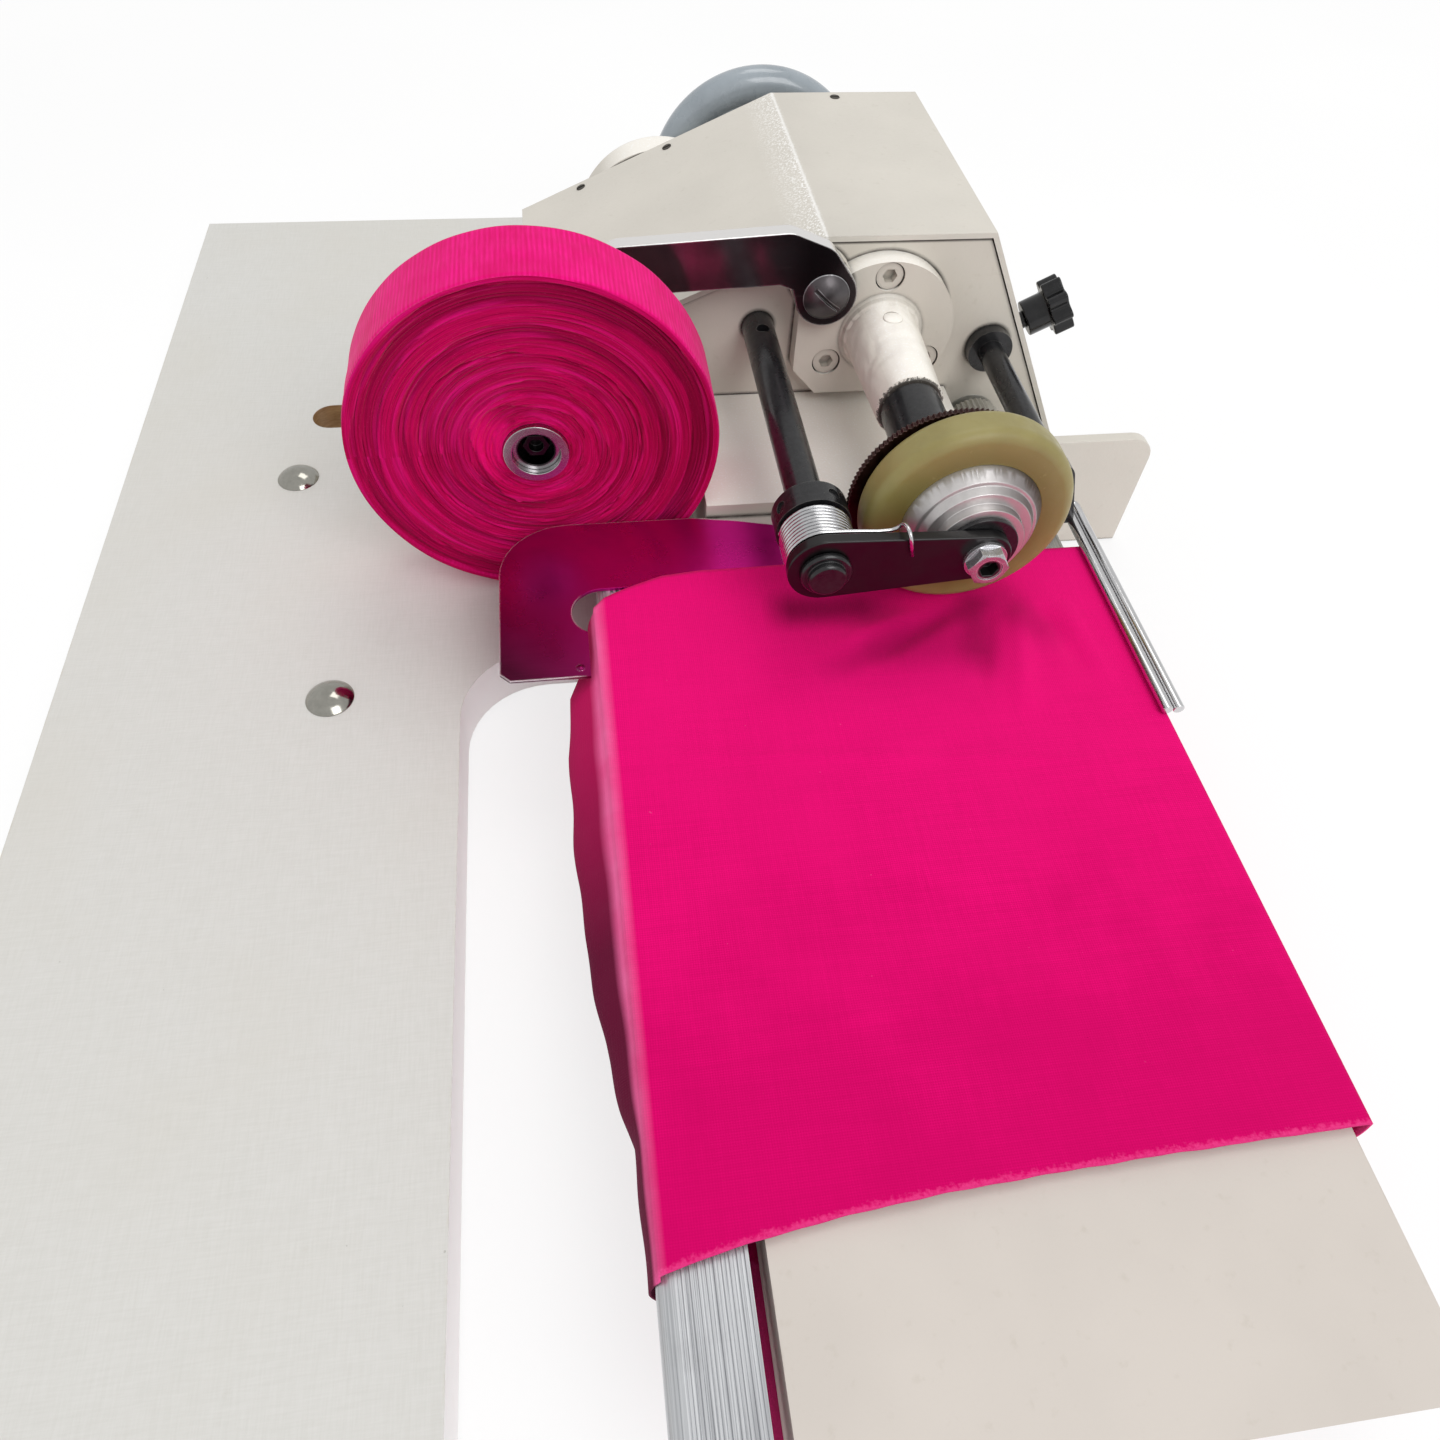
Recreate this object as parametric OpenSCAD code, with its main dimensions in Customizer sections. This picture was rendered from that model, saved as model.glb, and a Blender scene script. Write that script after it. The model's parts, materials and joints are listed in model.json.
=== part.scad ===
// Bias strip cutting machine on a notched table board.
// A motor-driven round knife cuts a sewn fabric tube into one long strip,
// which is wound on a roll that hangs on a pivoting arm.
// Lengths are in millimetres. Inside the modules X runs right, Y away from the
// operator and Z up, from the knife axis at the face of the bearing flange.

/* [Table] */
// Knife axis to the table's left edge
table_left = 372; // [340:1:420]
// Knife axis to the table's right edge
table_right = 114; // [114:1:130]
// Flange face to the table's far edge
table_back = 284; // [240:1:320]
// Flange face to the table's near edge
table_front = 436; // [432:1:480]
// Table board thickness
table_t = 25; // [22:1:40]
// Knife axis above the table's top face
table_drop = 82; // [82:1:90]
// Knife axis to the notch's left edge
notch_left = 203; // [185:1:220]
// Flange face to the notch's far edge
notch_back = 110; // [100:1:116]
// Radius of the notch's inner corner
notch_r = 36; // [8:1:40]
// Knife axis to the step at the notch's right end
step_right = 44; // [43:1:60]
// Flange face to the step's far edge
step_back = 29; // [20:1:40]
// Head diameter of a carriage bolt
bolt_head_d = 20.6; // [16:0.1:24]
// Shank diameter of a carriage bolt
bolt_d = 8; // [6:1:10]
// Width of the oblong hole in the table
slot_w = 20; // [12:1:24]
// Length of the oblong hole in the table
slot_len = 62; // [40:1:80]

/* [Head] */
// Top of the cover above the knife axis
head_top = 42.4; // [38:0.2:50]
// Knife axis to the top's left fold
fold_left = 29.6; // [20:0.2:40]
// Knife axis to the top's right fold
fold_right = 49.4; // [42:0.2:50]
// Lean of the right wall from upright
flare_deg = 27.9; // [26:0.1:30]
// Fall of the left panel from level
slope_deg = 23.5; // [15:0.1:24]
// Knife axis to the left wall
head_left = 165; // [150:1:180]
// Flange face to the front of the head, which is the flange's thickness
head_front = 10; // [8:0.5:14]
// Depth of the head
head_depth = 150; // [146:1:170]
// Sheet thickness of the cover
cover_t = 2.5; // [1.5:0.1:3]
// Thickness of the front plate
front_t = 12; // [11:0.5:14]
// Thickness of the back plate
back_t = 8; // [6:0.5:12]
// Thickness of the base's floor
floor_t = 6; // [4:0.5:8]
// Top of the base's ledge below the knife axis
ledge_drop = 37; // [34:0.5:39]
// Knife axis to the ledge's left end
ledge_left = 90; // [80:1:92]
// Knife axis to the ledge's right end
ledge_right = 42; // [30:0.5:42]
// Flange face to the ledge's near face
ledge_front = 72; // [66:1:72]
// Wall of the ledge casting
ledge_wall = 7; // [5:0.5:10]
// Diameter of a cover screw
cover_screw_d = 5; // [3:0.5:6]

/* [Knife] */
// Radius of the bearing flange
flange_r = 35; // [33:0.5:36]
// Radius of the nose at the flange
nose_r = 17; // [15:0.5:19]
// Radius of the nose at its free end
nose_end_r = 15; // [13:0.5:17]
// Length of the nose
nose_len = 58; // [45:1:60]
// Radius of the circle of flange screws
flange_pcr = 28; // [26:0.5:29]
// Thread diameter of a flange screw
flange_screw_d = 8; // [6:1:8]
// Diameter of a flange screw's counterbore
flange_cbore_d = 13.5; // [12:0.1:15]
// Diameter of the knife shaft
knife_shaft_d = 15; // [12:0.5:16]
// Outer diameter of the shaft's bush
nose_bush_d = 20; // [19:0.5:22]
// Radius of the round knife
knife_r = 40.4; // [38:0.2:44]
// Thickness of the round knife
knife_t = 2.5; // [1.5:0.1:3]
// Number of fine teeth on the knife
knife_teeth = 120; // [60:1:140]
// Flange face to the front of the knife
knife_y = 117; // [114:0.5:117]
// Diameter of the black hub behind the knife
hub_d = 26.6; // [24:0.2:28]

/* [Press wheel] */
// Radius of the polyurethane tyre
wheel_r = 42; // [38:0.5:44]
// Width of the tyre
tyre_w = 17; // [16:0.5:19]
// Inner radius of the tyre
tyre_in_r = 28; // [26:0.5:30]
// Radius of the tyre's rounded corners
tyre_corner_r = 5; // [3:0.5:7]
// Knife axis to the wheel's axle, sideways
wheel_x = 4.5; // [0:0.5:8]
// Diameter of the wheel's axle
axle_d = 10; // [8:0.5:12]
// Outer diameter of the wheel's ball bearings
wheel_brg_d = 26; // [22:0.5:28]
// Width of one ball bearing
wheel_brg_w = 8; // [6:0.5:9]
// Across flats of the axle nut
axle_nut_af = 14; // [13:0.5:16]
// Height of the axle nut
axle_nut_h = 6.5; // [6:0.5:9]

/* [Swing arm] */
// Knife axis to the pivot rod, sideways
pivot_x = 57; // [54:0.5:62]
// Diameter of the pivot rod
pivot_rod_d = 15; // [12:0.5:16]
// Diameter of the rod's journal in the arm
journal_d = 12; // [10:0.5:13]
// Thickness of the swing arm
swing_t = 4.8; // [4:0.2:8]
// Arm radius round the pivot
swing_pivot_r = 14.4; // [14:0.2:17]
// Arm radius round the axle
swing_axle_r = 10.5; // [9.5:0.5:14]
// Gap between the tyre and the swing arm, bridged by the spacer
swing_gap = 15.2; // [13:0.2:17]
// Diameter of the clamp collar
collar_d = 30; // [26:0.5:32]
// Width of the clamp collar
collar_w = 11; // [9:0.5:12]
// Space between collar and arm for the spring
spring_room = 18; // [18:0.5:22]
// Wire diameter of the torsion spring
spring_wire = 1.6; // [1.2:0.1:1.8]
// Mean radius of the spring's curls
spring_r = 13.6; // [12:0.1:14]
// Curls of the spring
spring_turns = 7.25; // [5.25:1:7.25]

/* [Roll] */
// Radius of the wound strip
roll_r = 77; // [60:1:77]
// Width of the wound strip
roll_w = 38; // [30:1:42]
// Knife axis to the roll's axis, sideways
roll_x = 162; // [158:1:170]
// Roll axis below the knife axis
roll_drop = 4; // [0:0.5:4]
// Flange face to the roll's front face
roll_y = 71; // [69:1:71]
// Outer diameter of the roll's core tube
core_d = 27; // [24:0.5:32]
// Diameter of the roll's spindle
spindle_d = 19.8; // [18:0.2:21]
// Knife axis to the roll arm's pivot, sideways
roll_pivot_x = 30.5; // [28:0.5:33]
// Roll arm's pivot above the knife axis
roll_pivot_z = 24; // [22:0.5:26]
// Thickness of the roll arm's bar
roll_bar_t = 7.7; // [6:0.1:9]
// Half height of the roll arm's bar
roll_bar_r = 11; // [9:0.5:12]
// Radius of the roll arm's eyes
roll_eye_r = 14; // [13:0.5:15]
// Shoulder diameter of the roll arm's pivot screw
roll_screw_d = 12; // [10:0.5:13]
// Head diameter of the roll arm's pivot screw
roll_screw_head_d = 21; // [18:0.5:23]

/* [Guide] */
// Knife axis to the guide rod, sideways
guide_x = 59; // [58:0.5:61]
// Guide rod below the knife axis
guide_drop = 14.6; // [13:0.2:16]
// Diameter of the guide rod
guide_rod_d = 12; // [10:0.5:13]
// Flange face to the guide rod's near end
guide_rod_front = 96; // [94:1:100]
// Length of the guide rod
guide_rod_len = 154; // [120:1:166]
// Body diameter of the guide rod's bush
guide_bush_d = 18; // [16:0.5:20]
// Flange diameter of the guide rod's bush
guide_flange_d = 22; // [21:0.5:24]
// Wire diameter of the hairpin edge guide
hairpin_d = 4.4; // [3.6:0.2:4.4]
// Distance between the hairpin's legs
hairpin_pitch = 4.7; // [4.5:0.1:6]
// Knife axis to the hairpin's left leg
hairpin_x = 74.2; // [73:0.1:75.5]
// Flange face to the hairpin's near ends
hairpin_front = 204; // [160:1:230]
// Thread diameter of the star knob's stud
knob_stud_d = 8; // [6:0.5:8]
// Outer radius of the star knob
knob_r = 13.5; // [12:0.5:15]
// Number of lobes on the star knob
knob_lobes = 8; // [5:1:9]

/* [Fabric arm] */
// Knife axis to the arm's left edge
arm_left = 111; // [105:1:111]
// Knife axis to the arm's right edge
arm_right = 70; // [66:1:72]
// Flange face to the arm's near end
arm_front = 430; // [400:1:432]
// Sheet thickness of the arm
arm_t = 3; // [2:0.5:4]
// Depth of the arm's folded edges
arm_depth = 25; // [20:0.5:26]
// Width of the aluminium width bar
bar_w = 26; // [22:0.5:26]
// Height of the width bar
bar_h = 18; // [14:0.5:20]
// Gap between the width bar and the arm
bar_gap = 5; // [4.5:0.5:6]
// Diameter of the width bar's guide pins
pin_d = 8; // [6:0.5:10]
// Thickness of the polished guide plate
plate_t = 1.5; // [1:0.1:2]
// Right edge of the guard plate from the knife axis
guard_right = 141; // [130:1:150]
// Thickness of the guard plate
guard_t = 6; // [4:0.5:8]

/* [Drive] */
// Gear module
gear_m = 1.5; // [1.5:0.5:1.5]
// Teeth on each of the two gears
gear_teeth = 23; // [21:1:24]
// Direction from the knife axis to the drive shaft
drive_deg = 217.7; // [214:0.1:220]
// Diameter of the drive shaft
drive_shaft_d = 14; // [12:0.5:15]
// Radius of the handwheel
handwheel_r = 63; // [58:0.5:64]
// Radius of the handwheel's round rim
rim_r = 9; // [7:0.5:9]
// Knife axis to the motor's axis, sideways
motor_x = 87; // [84:0.5:88]
// Motor axis below the knife axis
motor_drop = 33; // [31:0.5:33]
// Radius of the motor's body
motor_r = 42; // [38:0.5:42]
// Radius of the motor's rear cap
motor_cap_r = 47; // [44:0.5:48]
// Radius of the motor's pulley
motor_pulley_r = 13; // [11:0.5:14]
// Radius of the driven pulley
drive_pulley_r = 20; // [18:0.5:21]
// Radius of the two feed pulleys
feed_pulley_r = 12; // [11:0.5:12.5]
// Thickness of both belts
belt_t = 2; // [1.5:0.1:2]
// Radius of the fluted feed roller
feed_r = 15; // [13:0.5:15]
// Number of flutes on the feed roller
feed_flutes = 36; // [24:1:48]
// Diameter of the feed roller's shaft
feed_shaft_d = 16; // [14:0.5:18]

/* [Fabric] */
// Thickness of the fabric tube's cloth
cloth_t = 1; // [0.8:0.1:1]
// Knife axis to the tube's right fold
tube_right = 78; // [77.5:0.5:80]
// Knife axis to the tube's left fold
tube_left = 145.4; // [145:0.1:145.6]
// Depth of the slack under the arm
tube_sag = 16; // [8:1:22]
// Bulge of the slack beside the width bar
tube_bulge = 12; // [6:1:12]

/* [Clearances] */
// Radial clearance of a shaft that turns or slides in a bore
run_gap = 0.05; // [0.02:0.01:0.08]
// Clearance between parts that move past each other, and round cloth
soft_gap = 0.3; // [0.25:0.05:0.35]
// Gap between the knife's edge and the cloth
cut_gap = 0.4; // [0.3:0.05:0.5]

/* [Hidden] */
$fn = 64;

// Levels, from the knife axis
table_z = -table_drop;
floor_z = table_z + floor_t;
ledge_z = -ledge_drop;
cloth_top = -(knife_r + cut_gap);
cloth_under = cloth_top - cloth_t;
plate_z = cloth_under - soft_gap;
bar_z = plate_z - plate_t;
arm_z = bar_z - soft_gap;

// Depths, from the flange face
front_in = head_front + front_t;
head_back = head_front + head_depth;
back_out = head_back - 2;
back_in = back_out - back_t;
tyre_back = -knife_y - 1;
tyre_front = tyre_back - tyre_w;
swing_back = tyre_front - swing_gap;
swing_front = swing_back - swing_t;
collar_front = swing_back + spring_room;
roll_back = -roll_y + roll_w;
roll_bar_front = -soft_gap - roll_bar_t;

// Axes, as X and Z
knife_at = [0, 0];
drive_at = gear_m * gear_teeth * [cos(drive_deg), sin(drive_deg)];
motor_at = [-motor_x, -motor_drop];
feed_at = [guide_x, cloth_under - soft_gap - feed_r];
pivot_at = [-pivot_x, 0];
wheel_at = [wheel_x, cloth_top + soft_gap + wheel_r];
roll_at = [-roll_x, -roll_drop];
roll_pivot_at = [-roll_pivot_x, roll_pivot_z];
guide_at = [guide_x, -guide_drop];
hairpin_at = [hairpin_x, cloth_top + soft_gap + hairpin_d / 2];

// Bushes of the drive shaft
drive_bush_d = 22;
drive_bush_l = 6.5;
rear_bush_d = 24;

// Depth bands of the drive inside the head
motor_belt_y = [front_in + 2, front_in + 14];
gear_y = [front_in + 18, front_in + 30];
feed_belt_y = [front_in + 38, front_in + 50];
motor_front = front_in + 36;
pulley_lip = 1.5;
handwheel_y = head_back + 37;
motor_cap_y = [head_back + 1, head_back + 24];

// Sites of repeated fasteners
table_bolt_at = [[-287, 18.5], [-258, -130]];
table_slot_at = [-table_left + 87 + slot_w / 2, 69.5];
flange_screw_degs = [90, 210, 330];
pin_ys = [-185, -350];
plate_screw_xs = [-135, -122];
knob_y = head_front + front_t / 2;

// Height of a closed wall end below a surface it stands in
cut_past = 1;

// Origin of the row's frame: the middle of the box's base
frame_at = [(table_left - guard_right) / 2, (table_front - table_back) / 2, table_drop + table_t];

// Points on an arc about c, from angle a0 to a1
function arc(c, r, a0, a1, n) = [
    for (i = [0 : n])
        let (a = a0 + (a1 - a0) * i / n)
        c + r * [cos(a), sin(a)]
];
function unit(v) = v / norm(v);
function left_of(v) = [-v[1], v[0]];
function mix(a, b, t) = a + (b - a) * t;

// A convex outline, counter-clockwise, moved in by d
function inset(p, d) = [
    for (i = [0 : len(p) - 1])
        let (
            a = p[(i + len(p) - 1) % len(p)],
            b = p[i],
            c = p[(i + 1) % len(p)],
            n1 = left_of(unit(b - a)),
            n2 = left_of(unit(c - b))
        )
        b + d * (n1 + n2) / (1 + n1 * n2)
];

// Outline of the head in X and Z, standing on level z
function head_outline(z) = [
    [-head_left, z],
    [fold_right + (head_top - z) * tan(flare_deg), z],
    [fold_right, head_top],
    [-fold_left, head_top],
    [-head_left, head_top - (head_left - fold_left) * tan(slope_deg)]
];

// Outline of a bar with round ends through points p with half widths r, which bends left on its way
function bar_turn(p, i) = (atan2(p[i + 1][1] - p[i][1], p[i + 1][0] - p[i][0]) + 360) % 360;
function bar_side(p, r, i) = acos((r[i] - r[i + 1]) / norm(p[i + 1] - p[i]));
function towards(a) = [cos(a), sin(a)];
function bent_bar(p, r) =
    let (
        last = len(p) - 1,
        t = [for (i = [0 : last - 1]) bar_turn(p, i)],
        s = [for (i = [0 : last - 1]) bar_side(p, r, i)]
    )
    concat(
        [
            for (i = [1 : 1 : last - 1])
                let (n1 = towards(t[i - 1] + s[i - 1]), n2 = towards(t[i] + s[i]))
                p[i] + r[i] * (n1 + n2) / (1 + n1 * n2)
        ],
        arc(p[last], r[last], t[last - 1] + s[last - 1], t[last - 1] - s[last - 1], 24),
        [for (i = [last - 1 : -1 : 1]) each arc(p[i], r[i], t[i] - s[i], t[i - 1] - s[i - 1], 6)],
        arc(p[0], r[0], t[0] - s[0], t[0] + s[0] - 360, 24)
    );

module placed() {
    translate(frame_at) children();
}

// A flat outline in X and Z, from depth y0 to y1
module slab(y0, y1) {
    translate([0, y1, 0]) rotate([90, 0, 0]) linear_extrude(y1 - y0) children();
}

module rod_y(at, d, y0, y1) {
    slab(y0, y1) translate(at) circle(d = d);
}

// A profile of radius and depth, turned about an axis along Y
module turned(at) {
    translate([at[0], 0, at[1]]) rotate([-90, 0, 0]) rotate_extrude() children();
}

// A plate with two round ends
module link(a, ra, b, rb, y0, y1) {
    slab(y0, y1) polygon(bent_bar([a, b], [ra, rb]));
}

module ring_y(at, d_out, d_in, y0, y1) {
    difference() {
        rod_y(at, d_out, y0, y1);
        rod_y(at, d_in, y0 - cut_past, y1 + cut_past);
    }
}

// A box between two corners
module block(p, q) {
    translate(p) cube(q - p);
}

// A closed tube wall swept over rings of points, each ring of the same length
module loft(rings, closed = false) {
    n = len(rings);
    m = len(rings[0]);
    last = closed ? n : n - 1;
    sides = [
        for (i = [0 : last - 1], j = [0 : m - 1])
            let (
                a = i * m + j,
                b = i * m + (j + 1) % m,
                c = (i + 1) % n * m + (j + 1) % m,
                d = (i + 1) % n * m + j
            )
            each [[a, b, c], [a, c, d]]
    ];
    caps = closed ? [] : [
        [for (j = [m - 1 : -1 : 0]) j],
        [for (j = [0 : m - 1]) (n - 1) * m + j]
    ];
    polyhedron([for (r = rings) each r], concat(sides, caps));
}

// Table and its fasteners

table_outline = concat(
    [
        [-table_left, -table_front],
        [-notch_left, -table_front]
    ],
    arc([-notch_left + notch_r, -notch_back - notch_r], notch_r, 180, 90, 10),
    [
        [step_right, -notch_back],
        [step_right, -step_back],
        [table_right, -step_back],
        [table_right, table_back],
        [-table_left, table_back]
    ]
);
nut_pocket_d = 26;
nut_pocket_h = 14;
washer_t = 2;
bolt_nut_h = 7;
bolt_end_z = table_z - table_t + nut_pocket_h - washer_t - bolt_nut_h - 1;
wheel_slot_x = 26;

module table_top() {
    color([0.85, 0.85, 0.83]) placed() difference() {
        translate([0, 0, table_z - table_t]) linear_extrude(table_t) polygon(table_outline);
        for (p = table_bolt_at) translate([p[0], p[1], table_z - table_t - cut_past]) {
            cylinder(d = bolt_d, h = table_t + 2 * cut_past);
            cylinder(d = nut_pocket_d, h = nut_pocket_h + cut_past);
        }
        translate([0, 0, table_z - table_t - cut_past])
            linear_extrude(table_t + 2 * cut_past) slot_outline();
        block(
            [drive_at[0] - wheel_slot_x, handwheel_y - rim_r - 3, table_z - table_t - cut_past],
            [drive_at[0] + wheel_slot_x, handwheel_y + rim_r + 3, table_z + cut_past]
        );
        guard_screw_sites()
            rod_y([0, 0], guard_screw_d, -step_back - cut_past, -step_back + guard_screw_deep);
    }
}

module slot_outline() {
    r = slot_w / 2;
    polygon(concat(
        arc(table_slot_at, r, 90, 270, 16),
        arc(table_slot_at + [slot_len - slot_w, 0], r, -90, 90, 16)
    ));
}

bolt_head_h = 5;
module table_bolts() {
    color("silver") placed() for (p = table_bolt_at) translate([p[0], p[1], 0]) {
        translate([0, 0, table_z]) dome(bolt_head_d / 2, bolt_head_h);
        translate([0, 0, bolt_end_z]) cylinder(d = bolt_d, h = table_z - bolt_end_z + 0.5);
    }
}

// A low spherical cap of radius r at its rim and height h, on the XY plane
module dome(r, h) {
    ball = (r * r + h * h) / (2 * h);
    rim = asin(r / ball);
    rotate_extrude() polygon(concat([[0, 0]], arc([0, h - ball], ball, 90 - rim, 90, 10)));
}

module table_nuts() {
    color("silver") placed() for (p = table_bolt_at)
        translate([p[0], p[1], table_z - table_t + nut_pocket_h - washer_t]) difference() {
            union() {
                cylinder(d = 2.2 * bolt_d, h = washer_t);
                translate([0, 0, -bolt_nut_h]) cylinder(d = 1.85 * bolt_d, h = bolt_nut_h, $fn = 6);
            }
            translate([0, 0, -bolt_nut_h - cut_past]) cylinder(d = bolt_d, h = table_t);
        }
}

// Head casting, plates and cover

arm_screw_xs = [-75, -25, 25];
arm_screw_d = 6;
arm_screw_z = arm_z - arm_depth / 2;

module base_casting() {
    color([0.84, 0.82, 0.78]) placed() difference() {
        union() {
            block([-head_left - 1, head_front - 1, table_z], [table_right - 1, head_back, floor_z]);
            block([-ledge_left, -ledge_front, table_z], [ledge_right, head_front, ledge_z]);
        }
        block(
            [-ledge_left + ledge_wall, -ledge_front + ledge_wall, table_z - cut_past],
            [ledge_right - ledge_wall, head_front - ledge_wall, ledge_z - ledge_wall]
        );
        for (x = arm_screw_xs)
            rod_y([x, arm_screw_z], arm_screw_d, -ledge_front - cut_past, -ledge_front + ledge_wall - 1);
    }
}

// Outline of a wall that stands on the floor inside the cover
function wall_outline() = inset(head_outline(floor_z - cover_t - seam), cover_t + seam);
seam = 0.4;
cover_screw_y = back_out - back_t / 2;
cover_screw_deep = 9;
// Each site has a point on the cover's outside and the lean of its screw
cover_screw_sites = [
    [4, head_top, 0],
    [-85, head_top - (85 - fold_left) * tan(slope_deg), -slope_deg],
    [-132, head_top - (132 - fold_left) * tan(slope_deg), -slope_deg]
];

module cover_screw_holes() {
    for (s = cover_screw_sites)
        translate([s[0], cover_screw_y, s[1]]) rotate([0, s[2], 0]) translate([0, 0, -cover_screw_deep])
            cylinder(d = cover_screw_d, h = cover_screw_deep + cut_past);
}

module knob_axis() {
    translate([guide_at[0], knob_y, guide_at[1]]) rotate([0, 90 - flare_deg, 0]) children();
}

module front_plate() {
    color([0.82, 0.8, 0.75]) placed() difference() {
        slab(head_front, front_in) polygon(wall_outline());
        rod_y(knife_at, nose_bush_d, head_front - cut_past, front_in + cut_past);
        rod_y(drive_at, drive_bush_d, front_in - drive_bush_l, front_in + cut_past);
        rod_y(feed_at, feed_bush_d, head_front - cut_past, front_in + cut_past);
        rod_y(pivot_at, pivot_rod_d, head_front - cut_past, front_in + cut_past);
        rod_y(guide_at, guide_bush_d, head_front - cut_past, front_in + cut_past);
        flange_screw_sites() circle(d = flange_screw_d);
        knob_axis() cylinder(d = knob_stud_d + 2 * run_gap, h = 4 * guide_bush_d);
    }
}

module flange_screw_sites() {
    for (a = flange_screw_degs)
        slab(flange_cbore_deep - cut_past, flange_screw_end)
            translate(flange_pcr * [cos(a), sin(a)]) children();
}

module back_plate() {
    color([0.8, 0.78, 0.73]) placed() difference() {
        slab(back_in, back_out) polygon(wall_outline());
        rod_y(knife_at, rear_bush_d, back_in - cut_past, back_out + cut_past);
        rod_y(drive_at, rear_bush_d, back_in - cut_past, back_out + cut_past);
        rod_y(motor_at, 2 * (motor_r + seam), back_in - cut_past, back_out + cut_past);
        cover_screw_holes();
    }
}

module head_cover() {
    color([0.86, 0.84, 0.79]) placed() difference() {
        slab(head_front - 1, head_back) polygon(head_outline(floor_z));
        slab(head_front - 1 - cut_past, head_back + cut_past)
            polygon(inset(head_outline(floor_z - 2 * cover_t), cover_t));
        cover_screw_holes();
        knob_axis() cylinder(d = knob_stud_d + 2, h = 4 * guide_bush_d);
    }
}

module cover_screws() {
    color([0.3, 0.3, 0.3]) placed() for (s = cover_screw_sites)
        translate([s[0], cover_screw_y, s[1]]) rotate([0, s[2], 0]) difference() {
            translate([0, 0, -cover_screw_deep]) cylinder(d = cover_screw_d, h = cover_screw_deep + 0.3);
            translate([-cover_screw_d, -0.5, -0.6]) cube([2 * cover_screw_d, 1, 2]);
        }
}

// Knife bearing, shaft and knife

flange_cbore_deep = 0.8 * head_front;
flange_screw_end = front_in - drive_bush_l - 0.5;
flange_foot = -31;
flange_side = -40;

module bearing_nose() {
    color([0.83, 0.81, 0.76]) placed() difference() {
        union() {
            difference() {
                union() {
                    rod_y(knife_at, 2 * flange_r, 0, head_front);
                    slab(0, head_front) polygon([
                        [flange_side, roll_pivot_z], [flange_side, flange_foot + 13],
                        [flange_side + 12, flange_foot], [0, flange_foot], [0, roll_pivot_z]
                    ]);
                    rod_y(roll_pivot_at, 2 * roll_eye_r, 0, head_front);
                }
                slab(-cut_past, head_front + cut_past)
                    translate([-2 * flange_r, flange_foot - flange_r]) square([4 * flange_r, flange_r]);
            }
            turned(knife_at) polygon([
                [0, -nose_len], [nose_end_r - 1, -nose_len], [nose_end_r, -nose_len + 1],
                [nose_r, -4], [nose_r + 3, 0], [nose_r + 3, 1], [0, 1]
            ]);
        }
        rod_y(knife_at, nose_bush_d, -nose_len - cut_past, head_front + cut_past);
        flange_screw_sites() circle(d = flange_screw_d);
        for (a = flange_screw_degs)
            rod_y(flange_pcr * [cos(a), sin(a)], flange_cbore_d, -cut_past, flange_cbore_deep);
        rod_y(roll_pivot_at, roll_screw_d - 2, -cut_past, head_front + cut_past);
        translate([0, oil_y, nose_bush_d / 2 - 1]) cylinder(d = oil_d, h = nose_r);
    }
}

module flange_screws() {
    color([0.75, 0.74, 0.7]) placed() for (a = flange_screw_degs) difference() {
        union() {
            rod_y(flange_pcr * [cos(a), sin(a)], flange_screw_d, flange_cbore_deep, flange_screw_end);
            rod_y(flange_pcr * [cos(a), sin(a)], flange_cbore_d - 1, 0.8, flange_cbore_deep);
        }
        slab(0, 4.5) translate(flange_pcr * [cos(a), sin(a)]) circle(d = 0.85 * flange_screw_d, $fn = 6);
    }
}

oil_y = -14;
oil_d = 9;
module oil_plug() {
    color([0.83, 0.81, 0.76]) placed() translate([0, oil_y, nose_bush_d / 2]) {
        cylinder(d = oil_d, h = nose_r - nose_bush_d / 2 - 0.6);
        translate([0, 0, nose_r - nose_bush_d / 2 - 0.6]) dome(oil_d / 2, 1);
    }
}

module nose_bush() {
    color([0.72, 0.55, 0.3]) placed()
        ring_y(knife_at, nose_bush_d, knife_shaft_d + 2 * run_gap, -nose_len + 3, front_in);
}

module rear_bushes() {
    color([0.72, 0.55, 0.3]) placed() {
        ring_y(knife_at, rear_bush_d, knife_shaft_d + 2 * run_gap, back_in, back_out);
        ring_y(drive_at, rear_bush_d, drive_shaft_d + 2 * run_gap, back_in, back_out);
    }
}

module drive_front_bush() {
    color([0.72, 0.55, 0.3]) placed()
        ring_y(drive_at, drive_bush_d, drive_shaft_d + 2 * run_gap, front_in - drive_bush_l, front_in);
}

feed_bush_d = 28;
feed_bush_back = front_in + 34;
module feed_bush() {
    color([0.72, 0.55, 0.3]) placed()
        ring_y(feed_at, feed_bush_d, feed_shaft_d + 2 * run_gap, head_front, feed_bush_back);
}

module knife_shaft() {
    color("silver") placed() rod_y(knife_at, knife_shaft_d, -knife_y, back_out - 1);
}

knife_back = -knife_y + knife_t;
knife_screw_pcr = 13;
knife_screw_d = 4;
knife_flange_r = 18;
knife_flange_t = 6;
module knife_hub() {
    color([0.14, 0.14, 0.15]) placed() difference() {
        union() {
            rod_y(knife_at, hub_d, knife_back, -nose_len - 1);
            rod_y(knife_at, 2 * knife_flange_r, knife_back, knife_back + knife_flange_t);
        }
        rod_y(knife_at, knife_shaft_d, knife_back - cut_past, 0);
        knife_screw_sites(knife_back - cut_past, knife_back + knife_flange_t - 1) circle(d = knife_screw_d);
    }
}

module knife_screw_sites(y0, y1) {
    for (a = [30, 150, 270]) slab(y0, y1) translate(knife_screw_pcr * [cos(a), sin(a)]) children();
}

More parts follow.
